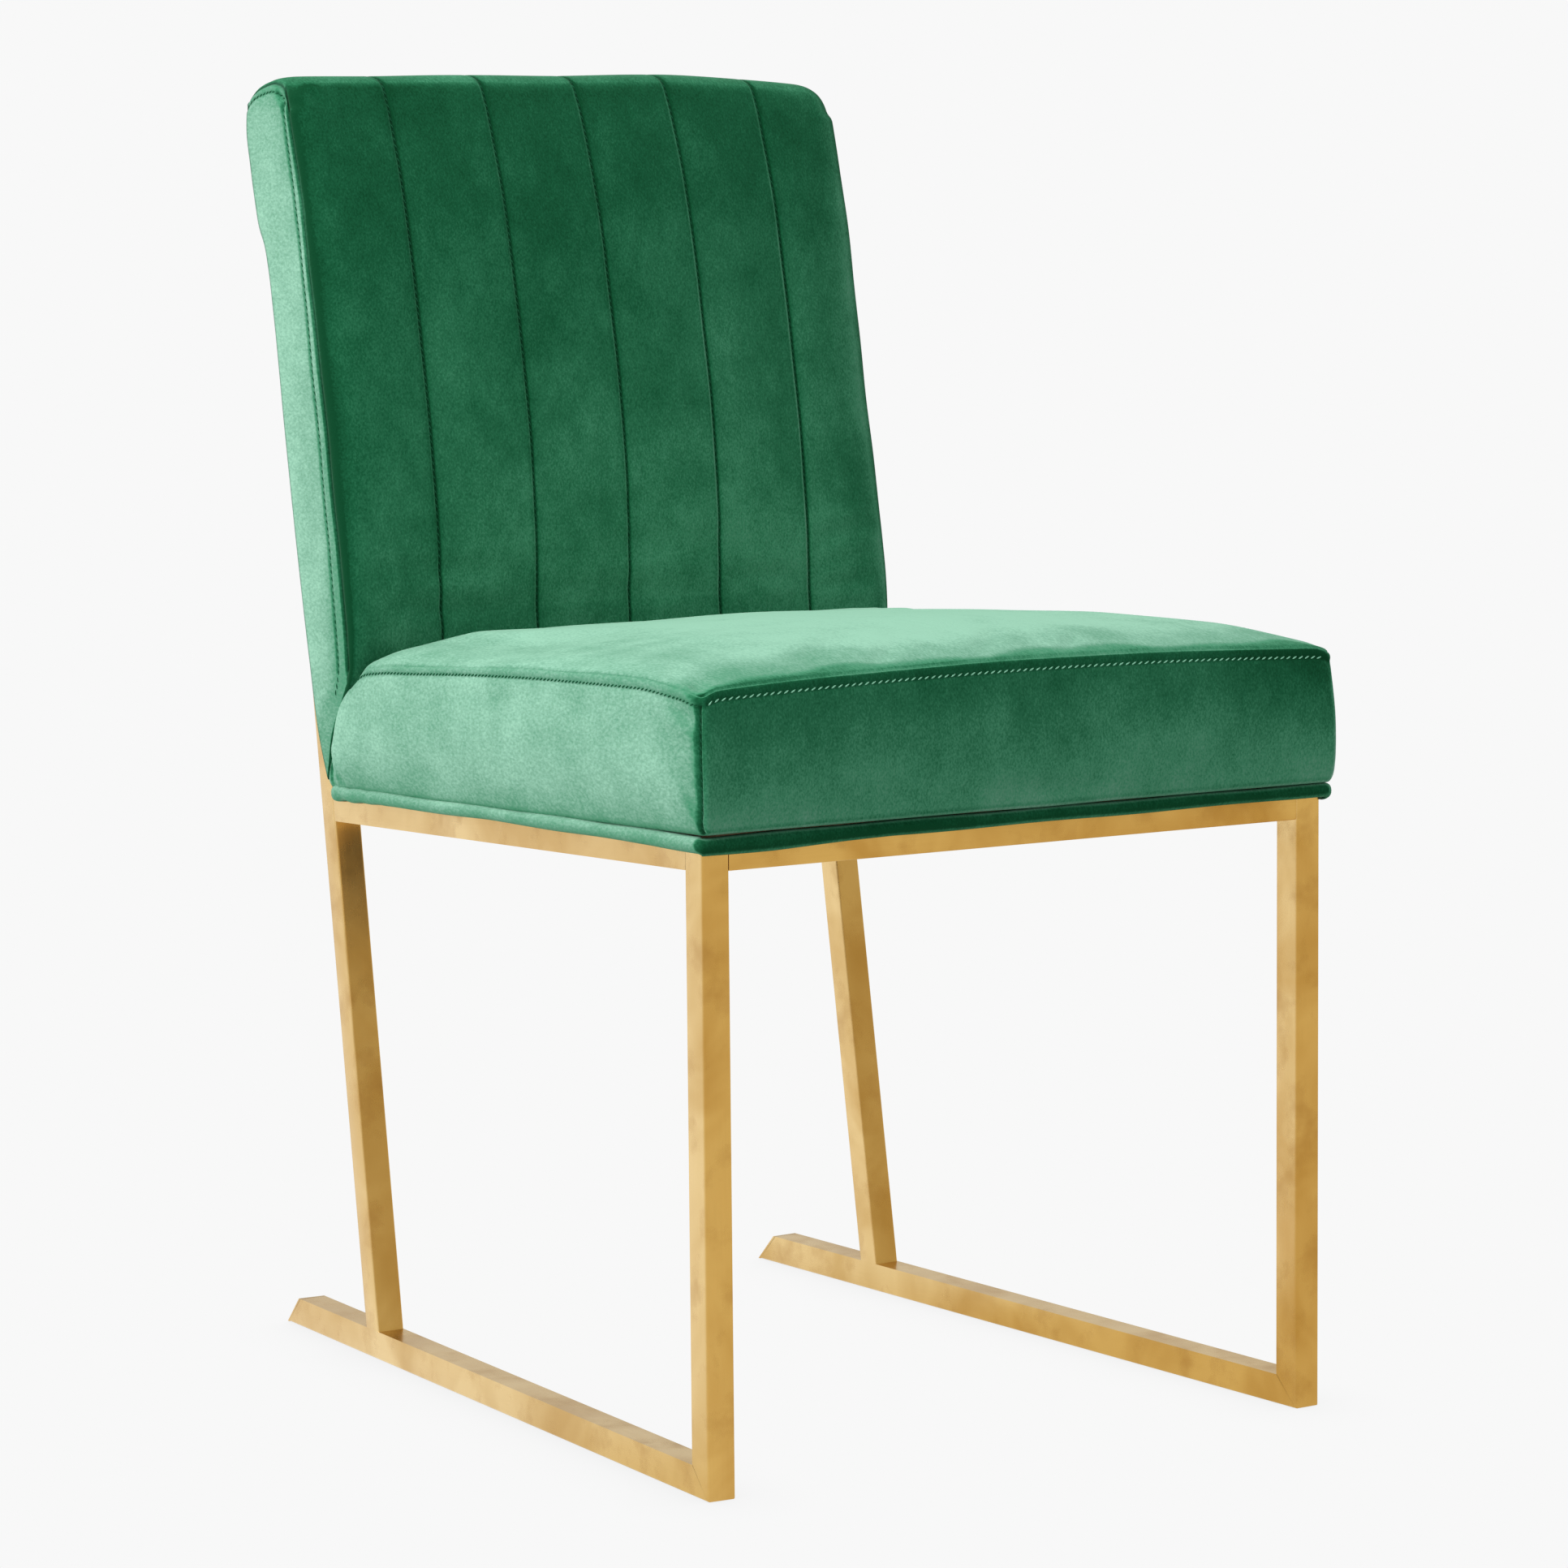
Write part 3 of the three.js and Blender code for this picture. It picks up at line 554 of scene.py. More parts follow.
def stitches(name, points, normals, look, radius=0.5, sides=6, rings=5):
    """A row of short threads laid along a line of points on a surface, in metres."""
    run = run_lengths(points)
    vertices, faces = [], []
    for n in range(int(run[-1] / (STITCH_PITCH * MM))):
        middle = (n + 0.5) * STITCH_PITCH * MM
        a, b = [at_shares(points, run, middle + end * STITCH_LENGTH * MM / 2) for end in (-1, 1)]
        up = at_shares(normals, run, middle)
        up /= np.linalg.norm(up)
        across = np.cross(b - a, up)
        across /= np.linalg.norm(across)
        a, b = a + across * STITCH_SLANT * MM, b - across * STITCH_SLANT * MM
        start = len(vertices)
        for ring in range(rings):
            t = ring / (rings - 1)
            arch = math.sin(math.pi * t)
            swell = radius * MM * (0.35 + 0.65 * arch ** 0.6)
            centre = a + (b - a) * t + up * (0.1 + 0.35 * arch) * radius * MM
            vertices.extend(thread_ring(centre, swell, across, up, sides))
        for ring in range(rings - 1):
            low = start + ring * sides
            for side in range(sides):
                other = (side + 1) % sides
                faces.append([low + side, low + sides + side, low + sides + other, low + other])
        faces.append([start + side for side in range(sides)])
        faces.append([start + (rings - 1) * sides + side for side in reversed(range(sides))])
    return finish_piece(new_piece(name, vertices, faces), look, "velvet")


def distance_to(points, lines):
    """Distance in millimetres from each point to the nearest of some lines, all in metres."""
    dense = []
    for line in lines:
        run = run_lengths(line)
        dense.extend(at_shares(line, run, np.arange(0, run[-1], MM)))
    tree = KDTree(len(dense))
    for n, point in enumerate(dense):
        tree.insert(point, n)
    tree.balance()
    return np.array([tree.find(point)[2] for point in points]) / MM


def hollow(distance, depth, width):
    return depth * np.exp(-(distance / width) ** 2)


def beside_lines(distances, rows):
    """Sum of hollows beside lines, from rows of (line, most, half width in millimetres)."""
    return sum(hollow(distances[line], most, width) for line, most, width in rows)


def fold(places, start, end, depth, width):
    """Depth of a soft fold pressed in along a line, with a ridge on each side, fading at its ends."""
    start, end = np.array(start), np.array(end)
    run = end - start
    share = np.clip((places - start) @ run / (run @ run), 0, 1)
    distance = np.linalg.norm(places - start - share[:, None] * run, axis=1)
    ridge = hollow(distance - 2 * width, depth / 2, width)
    return np.sin(np.pi * share) * (hollow(distance, depth, width) - ridge)


def distances_to(points, kinds):
    """For each kind of line, given as lists of point numbers, the distance from each point to it."""
    return {kind: distance_to(points, [points[line] for line in lines]) for kind, lines in kinds.items()}


def unevenness(places):
    """Slow waves of stretched cloth, about half a millimetre high."""
    x, y, z = places.T
    return (0.30 * np.sin(x / 23 + y / 31) + 0.25 * np.sin(y / 17 - z / 29 + 1)
            + 0.20 * np.sin(z / 13 + x / 37 + 2))


def press_in(piece, places, distances, grooves, folds, uneven):
    """Presses grooves, waves and folds into a piece; uneven is the share of the waves at each point."""
    depth = beside_lines(distances, grooves) + unevenness(places) * uneven
    depth += sum(fold(places, *row) for row in folds)
    points, normals = read_points(piece.data), read_normals(piece.data)
    write_points(piece.data, points - normals * depth[:, None] * MM)


# ---- seat

SEAT_COUNTS = (96, 100, 22)
BAND_ROWS = 4  # rows of cells between a seam and its stitches
FRONT_THREAD_START = 3  # columns between a front corner and the pale stitches
SEAT_FOLDS = [  # start, end, depth and width
    ((-244, 30, 88), (-249, -14, 70), 1.6, 5),
    ((-232, 14, 99), (-240, -8, 90), 1.2, 4),
    ((-222, 531, 34), (-222, 522, 2), 2.5, 3.5),
    ((-222, 520, 22), (-224, 505, 1), 1.6, 4),
    ((-120, -10, 98), (-60, 40, 110), 0.9, 6),
    ((-40, -10, 98), (20, 50, 112), 1.1, 7),
    ((30, -10, 98), (70, 30, 112), 0.8, 5),
    ((-160, 10, 103), (-60, 90, 118), 0.9, 9),
    ((-40, -14, 20), (60, -14, 12), 0.8, 6),
]
SEAT_UNEVEN_FROM = (6, 20)  # the cloth lies flat below the first height, in waves above the other
SEAT_GROOVES = [  # pressed in beside each kind of line: deepest, half width
    ("top seam", 1.3, 1.6), ("corner", 1.6, 1.6), ("thread", 0.8, 1.8), ("rear edge", 1.3, 1.6),
]
SEAT_SHADES = [  # dark in the depth of a seam: most, half width
    ("top seam", 0.12, 1.0), ("corner", 0.6, 1.1), ("thread", 0.2, 1.2), ("rear edge", 0.85, 2.0),
]
SEAT_PAINTED_SEAM_SHADE = [  # painted shade beside a seam, which also holds down the painted sheen on its slopes: most, half width
    ("top seam", 0.12, 1.2), ("corner", 0.3, 1.6), ("thread", 0.15, 1.3),
]
# painted shade on the band beside the top seam, where its rolled face turns from the light
BAND_PAINTED_SHADE = 0.13  # the band between the top seam and its stitches is darker by this,
BAND_EDGE = (0.5, -1.0)  # fading out between these distances past its stitches,
BAND_SLOPE = (0.85, 0.6)  # and not where it turns up on to the top

# painted light and shade on the seat by which way each face turns, and one brushed band of pile: changes of
# tone, most as (coordinate, change, start, end) for fades
ACROSS, DEPTH, HEIGHT = 0, 1, 2
FRONT_FOOT_PAINTED_LIGHT = 0.24
FRONT_TOP_PAINTED_SHADE = -0.18
FRONT_TONES = [(ACROSS, -0.24, 120, 240)]
SEAT_SIDE_PAINTED_SHADES = [(DEPTH, -0.16, 45, -15), (HEIGHT, -0.24, 32, 0)]
SIDE_TOP_TONE = -0.05
SEAT_TOP_PAINTED_LIGHT = 0.10
SEAT_TOP_TONES = [(DEPTH, -0.10, 380, 520), (ACROSS, -0.17, -90, -230)]
SEAT_BASE_PAINTED_SHADES = [(HEIGHT, -0.4, 8, 3)]
BRUSHED = (-0.22, 52, 12)  # the top's pile is brushed down beside the front seam, and painted shade lies right at the seam
SEAM_EDGE_PAINTED_SHADE = (-0.45, 2, -8)  # and lies over right at the seam
AWAY_PAINTED_SHADE = -0.12  # painted shade: sides that face right, away from the key light, are darker, and darker still along the front and top rims
RIM_PAINTED_SHADE = -0.33  # and darker still along the front and top rims
SEAT_FRONT_RIM = (60, 10)
SEAT_TOP_RIM = (80, 95)


def seat_half_width(back):
    return FRAME_HALF_WIDTH + SEAT_OVERHANG - back * math.tan(TOE_IN)


def seat_swell(x, back, half):
    """How far the top panel rises over its seams: a quick swell beside the sides and a low arch."""
    from_seam = np.clip((half - np.abs(x)) / SEAT_EDGE_REACH, 0, 1)
    rounded = np.sqrt(1 - (1 - from_seam) ** 2)
    to_rear = smooth_step(back, *SEAT_CHANGE)
    rise = np.interp(to_rear, (0, 1), SEAT_EDGE_RISE)
    crown = np.interp(to_rear, (0, 1), SEAT_CROWN)
    middle = (SEAT_FRONT + SEAT_BACK) / 2
    along = np.minimum(1, np.abs(back - middle) / (SEAT_BACK - middle))
    fall = 1 - np.where(back < middle, along ** 4, along ** 8)
    return (rise * rounded + crown * (1 - (np.abs(x) / half) ** 1.5)) * fall


def seat_shape(places):
    nx, ny, nz = SEAT_COUNTS
    i, j, k = places.T
    u = 2 * clustered(nx)[i] - 1
    v = two_part(ny, BAND_ROWS, BAND / (SEAT_BACK - SEAT_FRONT))[j]
    w = two_part(nz, BAND_ROWS, BAND / SEAT_SEAM)[k]
    bottom = [(SEAT_FRONT_VIEW[0][0], SEAT_BASE), (SEAT_BACK - 1, SEAT_BASE)]
    back, up = coons(SEAT_FRONT_VIEW, SEAT_REAR_VIEW, bottom, SEAT_TOP_VIEW, v, w).T
    tuck = SEAT_TUCK * np.clip(1 - w / TUCK_SHARE, 0, 1) ** 2
    lean = SEAT_LEAN * np.clip((w - LEAN_SHARE) / (1 - LEAN_SHARE), 0, 1) ** 2
    half = seat_half_width(back) - tuck - lean
    x = u * half
    at_side = smooth_step(np.abs(x), half - CORNER_REACH, half)
    dip = at_side * smooth_step(back, CORNER_REACH, SEAT_FRONT)
    arch = FRONT_ARCH * (1 - (x / FRONT_ARCH_LEVEL) ** 2) * smooth_step(back, *FRONT_ARCH_FADE)
    up = up + np.where(k == nz, seat_swell(x, back, half), 0) + (arch - CORNER_DIP * dip) * up / SEAT_SEAM
    front = along_line(SEAT_FRONT_VIEW, w)[:, 0]
    rear = along_line(SEAT_REAR_VIEW, w)[:, 0]
    x, flipped = round_corner(x, -back, half, -front, SEAT_CORNER)
    x, back = round_corner(x, -flipped, half, rear, SEAT_CORNER)
    return np.stack([x, back, up], 1)


def seat_painted_light_and_pile(places, normals):
    """Painted light and shade by which way each face turns: paler low on the front, darker by the corners,
    along the base and behind, with brushed pile along the top's front seam.
    """
    x, back, up = places.T
    height = np.clip(up / SEAT_SEAM, 0, 1)
    faces_front = np.clip(-normals[:, 1], 0, 1) ** 3
    faces_side = np.abs(normals[:, 0]) ** 3
    on_top = np.clip(normals[:, 2], 0, 1) ** 3
    front = FRONT_FOOT_PAINTED_LIGHT * (1 - height) ** 1.2 + (FRONT_TOP_PAINTED_SHADE + fades(places, FRONT_TONES)) * height
    wavy = 8 * np.sin(x / 27) + 5 * np.sin(x / 11 + 1)
    top = SEAT_TOP_PAINTED_LIGHT + fades(places, SEAT_TOP_TONES) + hollow(x - 10, 0.06, 90)
    top += fade(back - wavy, *BRUSHED) + fade(back - wavy / 2, *SEAM_EDGE_PAINTED_SHADE)
    side = fades(places, SEAT_SIDE_PAINTED_SHADES) + SIDE_TOP_TONE * height ** 3
    pile_and_painted_light = faces_front * front + faces_side * side + on_top * top
    rim = np.maximum(smooth_step(back, *SEAT_FRONT_RIM), smooth_step(up, *SEAT_TOP_RIM))
    # painted shade on faces turned right, away from the key light
    away_painted_shade = (AWAY_PAINTED_SHADE + RIM_PAINTED_SHADE * rim) * np.clip(normals[:, 0], 0, 1)
    return pile_and_painted_light + fades(places, SEAT_BASE_PAINTED_SHADES) + away_painted_shade


def seat_cushion():
    nx, ny, nz = SEAT_COUNTS
    places, quads, number = box_grid(SEAT_COUNTS)
    piece = new_piece("seat_cushion", from_seat(seat_shape(places)), quads)
    i, j, k = places.T
    on_side = (i == 0) | (i == nx)
    side_seam = on_side & ((k == nz) | (j == ny) | (j == 0))
    puff(piece, np.flatnonzero(side_seam | ((j == 0) & (k == nz)) | (k == 0)))
    subdivide(piece)
    row, column = nz - BAND_ROWS, ny - BAND_ROWS
    front_thread = [number[x, 0, row] for x in range(FRONT_THREAD_START, nx + 1 - FRONT_THREAD_START)]
    corners = [[number[x, 0, z] for z in range(row + 1)] for x in (0, nx)]
    side_threads = [[number[x, y, row] for y in range(column + 1)] for x in (0, nx)]
    top_seams = [[number[x, 0, nz] for x in range(nx + 1)]]
    top_seams += [[number[x, y, nz] for y in range(ny + 1)] for x in (0, nx)]
    rear_edges = [[number[x, ny, z] for z in range(nz + 1)] for x in (0, nx)]
    points, normals = read_points(piece.data), read_normals(piece.data)
    distances = distances_to(points, {
        "top seam": top_seams, "corner": corners, "thread": [front_thread] + side_threads,
        "rear edge": rear_edges})
    places = to_seat(points)
    uneven = smooth_step(places[:, 2], *SEAT_UNEVEN_FROM)
    press_in(piece, places, distances, SEAT_GROOVES, SEAT_FOLDS, uneven)
    write_value(piece.data, "shade", np.clip(beside_lines(distances, SEAT_SHADES), 0, 1))
    # painted shade beside the seams and on the band under the top seam
    on_boxing = smooth_step(normals[:, 2], *BAND_SLOPE)
    band = smooth_step(distances["top seam"], BAND + BAND_EDGE[0], BAND + BAND_EDGE[1]) * on_boxing
    painted_shade = beside_lines(distances, SEAT_PAINTED_SEAM_SHADE) + BAND_PAINTED_SHADE * band
    write_value(piece.data, "pile_and_painted_light", seat_painted_light_and_pile(places, normals) - painted_shade)
    points = read_points(piece.data)
    finish_piece(piece, VELVET, "velvet", "seat_cover", "seat_foam")
    stitches("seat_front_stitches", points[front_thread], normals[front_thread], PALE_THREAD, 0.55)
    for side, thread, corner in zip(("left", "right"), side_threads, corners):
        stitches(f"seat_{side}_stitches", points[thread], normals[thread], THREAD, 0.6)
        stitches(f"seat_{side}_corner_stitches", points[corner], normals[corner], THREAD)


# ---- welt round the base of the seat

WELT_CLEARANCE = 0.4
WELT_FRONT = 8.0
WELT_OUT = 6.5
WELT_INNER_FRONT = -1.5
WELT_END = 534.0
WELT_STEP = 3.0
WELT_TURNS = 9  # points round each front corner
WELT_SIDES = 15  # points across the roll
WELT_ROUNDED = 6.0  # length of its rounded rear ends
WELT_GATHERED = (430, 525)  # the roll is gathered more and more between these
WELT_DARK_FROM = 1.0  # radians round the roll, where the painted shade on its edges begins painted shade at those edges
WELT_SHADE = 0.75  # at those edges
WELT_PAINTED_LIGHT_AND_SHADE = 0.16  # painted light above and painted shade below: the roll is paler above and darker below its middle by this
# painted shade along the whole roll
WELT_PAINTED_SHADE = -0.20
WELT_FRONT_PAINTED_SHADE = -0.28  # further painted shade in front
WELT_SIDE_TOP = [(0, 2.6), (175, 4.4), (417, 5.1), (522, 6.6)]  # (back, up)
WELT_SIDE_BOTTOM = [(0, -8.5), (60, -7), (170, -5.9), (290, -4.6), (530, -4.4)]
WELT_FRONT_TOP = [(-240, 1.6), (-120, 2.6), (240, 2.8)]  # (x, up)
WELT_FRONT_BOTTOM = [(-240, -10), (-190, -10), (-100, -7.6), (240, -6.6)]


def height_at(view, place):
    view = np.array(view)
    return np.interp(place, view[:, 0], view[:, 1])


def welt_stations():
    """Points (x, back) round the inner line of the welt, with the directions it stands out in."""
    corner = FRAME_HALF_WIDTH + WELT_CLEARANCE
    back = np.append(np.arange(WELT_END, 0, -WELT_STEP), 0)
    side = corner - back * math.tan(TOE_IN)
    turn = np.linspace(0, np.pi / 2, WELT_TURNS)
    front = np.arange(-corner + WELT_STEP, 0, WELT_STEP)
    left = np.concatenate([
        np.stack([-side, back, np.full(len(back), np.pi)], 1),
        np.stack([np.full(WELT_TURNS, -corner), np.full(WELT_TURNS, WELT_INNER_FRONT), np.pi + turn], 1),
        np.stack([front, np.full(len(front), WELT_INNER_FRONT), np.full(len(front), 1.5 * np.pi)], 1),
    ])
    right = left[::-1] * (-1, 1, -1) + (0, 0, 3 * np.pi)
    return np.concatenate([left, right])


def welt_roll():
    x, back, turn = welt_stations().T
    to_front = np.sin(turn) ** 2
    upper = (1 - to_front) * height_at(WELT_SIDE_TOP, back) + to_front * height_at(WELT_FRONT_TOP, x)
    lower = (1 - to_front) * height_at(WELT_SIDE_BOTTOM, back) + to_front * height_at(WELT_FRONT_BOTTOM, x)
    out = (1 - to_front) * WELT_OUT + to_front * (WELT_FRONT + WELT_INNER_FRONT)
    rear = smooth_step(back, *WELT_GATHERED)
    out += rear * 0.7 * np.sin(back / 3.3) + 0.3 * np.sin(back / 13 + x / 19)
    upper += rear * 0.6 * np.sin(back / 5.1) + 0.25 * np.sin(back / 21 + x / 17)
    lower += rear * 0.7 * np.sin(back / 4.3 + 2) + 0.3 * np.sin(back / 27 + x / 23 + 1)
    from_end = np.minimum(1, (WELT_END - back) / WELT_ROUNDED)
    end = np.sqrt(np.clip(1 - (1 - from_end) ** 2, 0.02, 1))
    middle, half = (upper + lower) / 2, (upper - lower) / 2
    sweep = np.linspace(-np.pi / 2, np.pi / 2, WELT_SIDES)
    rings = []
    for angle in sweep:
        reach = out * end * np.cos(angle) ** 0.8
        rise = half * end * np.sign(np.sin(angle)) * np.abs(np.sin(angle)) ** 0.85
        rings.append(np.stack([x + reach * np.cos(turn), back + reach * np.sin(turn), middle + rise], 1))
    grid = np.stack(rings, 1)
    count, sides = grid.shape[:2]
    faces = []
    for n in range(count - 1):
        for m in range(sides):
            other = (m + 1) % sides
            faces.append([n * sides + m, n * sides + other, (n + 1) * sides + other, (n + 1) * sides + m])
    faces.append(list(reversed(range(sides))))
    faces.append([(count - 1) * sides + m for m in range(sides)])
    piece = new_piece("seat_welt_roll", from_seat(grid.reshape(-1, 3)), faces)
    # painted shade on the tucked edges of the roll
    welt_edge_painted_shade = np.tile(smooth_step(np.abs(sweep), WELT_DARK_FROM, np.pi / 2), count)
    write_value(piece.data, "shade", WELT_SHADE * welt_edge_painted_shade)
    # painted light on the upper half of the roll, painted shade on the lower half, the sides and the front
    welt_painted_light_and_shade = np.tile(WELT_PAINTED_LIGHT_AND_SHADE * np.sin(2 * sweep), count)
    in_front = np.repeat(to_front, sides)
    write_value(piece.data, "pile_and_painted_light", welt_painted_light_and_shade + WELT_PAINTED_SHADE + WELT_FRONT_PAINTED_SHADE * in_front)
    finish_piece(piece, VELVET, "velvet", "seat_welt")


# ---- cloth under the seat

DUST_COUNTS = (36, 40, 1)
DUST_FRONT = 24.0
DUST_BACK = 496.0
DUST_HALF_WIDTH = 188.0
DUST_THICKNESS = 0.8
DUST_SAG = 4.0


def dust_cloth():
    places, quads = box_grid(DUST_COUNTS)[:2]
    i, j, k = places.T
    u, v = 2 * i / DUST_COUNTS[0] - 1, 2 * j / DUST_COUNTS[1] - 1
    back = DUST_FRONT + (DUST_BACK - DUST_FRONT) * (v + 1) / 2
    x = u * (DUST_HALF_WIDTH - back * math.tan(TOE_IN))
    sag = DUST_SAG * (1 - u ** 2) * (1 - v ** 2) + 0.5 * (1 - v ** 4) * np.sin(6 * u) ** 2
    up = -GAP / 2 - sag - np.where(k == 0, DUST_THICKNESS, 0)
    piece = new_piece("dust_cloth", from_seat(np.stack([x, back, up], 1)), quads)
    piece.data.set_sharp_from_angle(angle=math.radians(60))
    finish_piece(piece, BLACK_CLOTH, "black_cloth", "seat_dust_cover")


# ---- backrest

CHANNEL_CELLS = 16
BACK_COUNTS = (6 * CHANNEL_CELLS, 20, 118)
SIDE_BAND_ROW = 5
SIDE_BAND_SHARE = 0.25
TOP_BAND_ROWS = 2
STITCHES_FIRST_ROW = 14  # the side stitches and seams run out behind the seat, between
STITCHES_START = 458  # these two heights
STITCHES_FULL = 480
FADE_BELOW = 20  # far enough from a seam to leave no hollow
BACK_CORNER_AT = (36, 62)  # the top corners turn from tight behind this distance ahead
BACK_CORNERS = (14, 27)  # to wide before the other, with these radii
CREST_DROOP = 9  # the crest falls this much towards the right,
DROOP_FROM = 86  # from here
DROOP_TO = 227  # to here, across,
CREST_HEIGHTS = (780, 880)  # and none of it below the first of these heights
FRONT_FROM = (25, 58)  # the swell of the front grows between these distances ahead
BACK_UNEVEN_FROM = (25, 45)  # the rear is flat up to the first, in waves past the other
BACK_GROOVES = [  # pressed in beside each kind of line: deepest, half width
    ("channel", 1.0, 1.5), ("edge", 1.8, 1.8), ("thread", 0.8, 1.6),
]
BACK_SHADES = [  # dark in the depth of a seam: most, half width
    ("channel", 0.5, 1.0), ("edge", 0.85, 1.4), ("thread", 0.3, 1.2), ("rear edge", 0.8, 1.4),
]
BACK_PAINTED_SEAM_SHADE = [  # painted shade beside a seam, which also holds down the painted sheen on its slopes: most, half width
    ("channel", 0.45, 1.3), ("channel", 0.12, 3.5), ("thread", 0.2, 1.3),
]
# painted light and shade on the backrest by which way each face turns: changes of tone, as for the seat
BACK_SIDE_PAINTED_LIGHT = 0.08
BACK_SIDE_SLOPE = -0.12 / 75  # for each millimetre ahead
BACK_SIDE_TONES = [(HEIGHT, -0.05, 560, 470), (HEIGHT, -0.14, 780, 880)]
BACK_FRONT_TONE = 0.06
# the front is darker towards the top and left and paler towards the right; painted shade darkens it just
# above the seat
BACK_FRONT_TONES = [
    (HEIGHT, -0.10, 640, 840), (ACROSS, -0.03, 40, -200), (ACROSS, 0.05, 20, 120),
    (HEIGHT, -0.06, 540, 480),
]
BACK_AWAY_PAINTED_SHADE = -0.14  # painted shade: sides that face right, away from the key light, are darker, and darker still along the front rim
BACK_RIM = (-0.58, 45, 62)  # and darker still along the front rim
# painted shade on faces that turn upwards
UPTURNED_PAINTED_SHADE = -0.75
ROLLED_PAINTED_SHADE = -0.9  # painted shade on the front where it rolls round to a side seam, up to the seam itself, above the seat
BEFORE_SEAM = (-0.5, 1.0)  # up to the seam itself,
ROLLED_HEIGHTS = (430, 460)  # above the seat
SEAT_PAINTED_SHADOW = (0.22, 34, 12)  # painted shadow of the seat: darker by this, between these distances behind the seat's rear
BACK_FOLDS = [
    ((-216, 62, 893), (-192, 92, 858), 1.3, 4),
    ((-222, 40, 895), (-221, 60, 872), 1.5, 3),
    ((-200, 88, 520), (-90, 88, 512), 0.8, 6),
    ((-70, 88, 528), (70, 88, 520), 0.8, 7),
    ((-30, 97, 560), (120, 96, 548), 0.5, 9),
    ((-205, 92, 548), (-85, 92, 540), 0.7, 6),
    ((80, 90, 530), (150, 90, 524), 0.8, 6),
    ((155, 90, 552), (215, 90, 560), 0.8, 6),
    ((155, 90, 516), (212, 90, 520), 0.7, 5),
    ((-60, 98, 584), (40, 98, 578), 0.4, 8),
]


def back_columns():
    """Distances across the front, gathered at each channel seam and at the sides."""
    edges = (-BACK_HALF_WIDTH, *CHANNEL_SEAMS, BACK_HALF_WIDTH)
    columns = [edges[0]]
    for low, high in zip(edges, edges[1:]):
        columns.extend(low + (high - low) * clustered(CHANNEL_CELLS, 0.22)[1:])
    return np.array(columns)


def back_swell(x, along):
    """How far the front stands ahead of its side seams, and out past them."""
    across = np.minimum(1, np.abs(x) / BACK_HALF_WIDTH)
    from_edge = np.minimum(1, (BACK_HALF_WIDTH - np.abs(x)) / BACK_EDGE_REACH)
    rounded = np.sqrt(1 - (1 - from_edge) ** 2)
    reach = np.where(along < CROWN_HEIGHT, CROWN_BELOW, CROWN_ABOVE)
    full = 1 - np.minimum(1, ((along - CROWN_HEIGHT) / reach) ** 2)
    edge = smooth_step(along, EDGE_START, EDGE_FULL)
    ahead = BACK_CROWN * (1 - across ** 2.6) * full + BACK_EDGE_RISE * rounded * edge
    outward = BACK_EDGE_LIP * np.sin(np.pi * np.sqrt(from_edge)) * edge
    return ahead, np.sign(x) * outward


def back_shape(places):
    nx, ny, nz = BACK_COUNTS
    i, j, k = places.T
    x = back_columns()[i]
    v = 1 - two_part(ny, SIDE_BAND_ROW, SIDE_BAND_SHARE)[ny - j]
    rear_line = BACK_REAR_VIEW + BACK_HOOD_VIEW[1:]
    bottom = [BACK_FRONT_VIEW[0], BACK_REAR_VIEW[0]]
    ahead, along = coons(BACK_FRONT_VIEW, rear_line, bottom, BACK_TOP_VIEW, v, k / nz).T
    recessed = (j == ny) & (np.abs(x) < BACK_HALF_WIDTH - BACK_HEM) & (along < HOOD_BOTTOM)
    ahead = np.where(recessed, np.maximum(ahead, BACK_RECESS), ahead)
    swell, lip = back_swell(x, along)
    ahead = ahead + smooth_step(ahead, *FRONT_FROM) * swell
    x = x + np.where(j == 0, lip, 0)
    radius = np.interp(ahead, BACK_CORNER_AT, BACK_CORNERS)
    x, along = round_corner(x, along, BACK_HALF_WIDTH + BACK_EDGE_LIP, BACK_TOP, radius)
    across = np.clip((x - DROOP_FROM) / (DROOP_TO - DROOP_FROM), 0, 1)
    droop = CREST_DROOP * across ** 1.6 * smooth_step(along, *CREST_HEIGHTS)
    return np.stack([x, ahead, along - droop], 1)


def back_painted_light_and_shade(places, normals):
    """Painted light and shade by which way each face turns: darker towards the top and left of the front,
    and painted shade round the side seams.
    """
    x, ahead, along = places.T
    faces_side = np.abs(normals[:, 0]) ** 3
    faces_front = np.clip(-normals[:, 1], 0, 1) ** 3
    side = BACK_SIDE_PAINTED_LIGHT + BACK_SIDE_SLOPE * ahead + fades(places, BACK_SIDE_TONES)
    front = BACK_FRONT_TONE + fades(places, BACK_FRONT_TONES)
    away_painted_shade = BACK_AWAY_PAINTED_SHADE + fade(ahead, *BACK_RIM)
    seam = np.array(BACK_FRONT_VIEW + BACK_TOP_VIEW[1:4])
    before_seam = smooth_step(ahead - np.interp(along, seam[:, 1], seam[:, 0]), *BEFORE_SEAM)
    side += ROLLED_PAINTED_SHADE * before_seam * smooth_step(along, *ROLLED_HEIGHTS)
    pile_and_painted_light = faces_side * side + faces_front * front
    return pile_and_painted_light + away_painted_shade * np.clip(normals[:, 0], 0, 1) + UPTURNED_PAINTED_SHADE * np.clip(normals[:, 2], 0, 1)


def painted_seat_shadow(points):
    """Painted shadow: how much darker the side panels are where the rear of the seat lies against them."""
    x, back, up = to_seat(points).T
    view = np.array(SEAT_REAR_VIEW)
    behind = back - np.interp(up, view[:, 1], view[:, 0])
    on_side = smooth_step(np.abs(x), BACK_HALF_WIDTH - BACK_EDGE_LIP, BACK_HALF_WIDTH)
    return fade(behind, *SEAT_PAINTED_SHADOW) * on_side


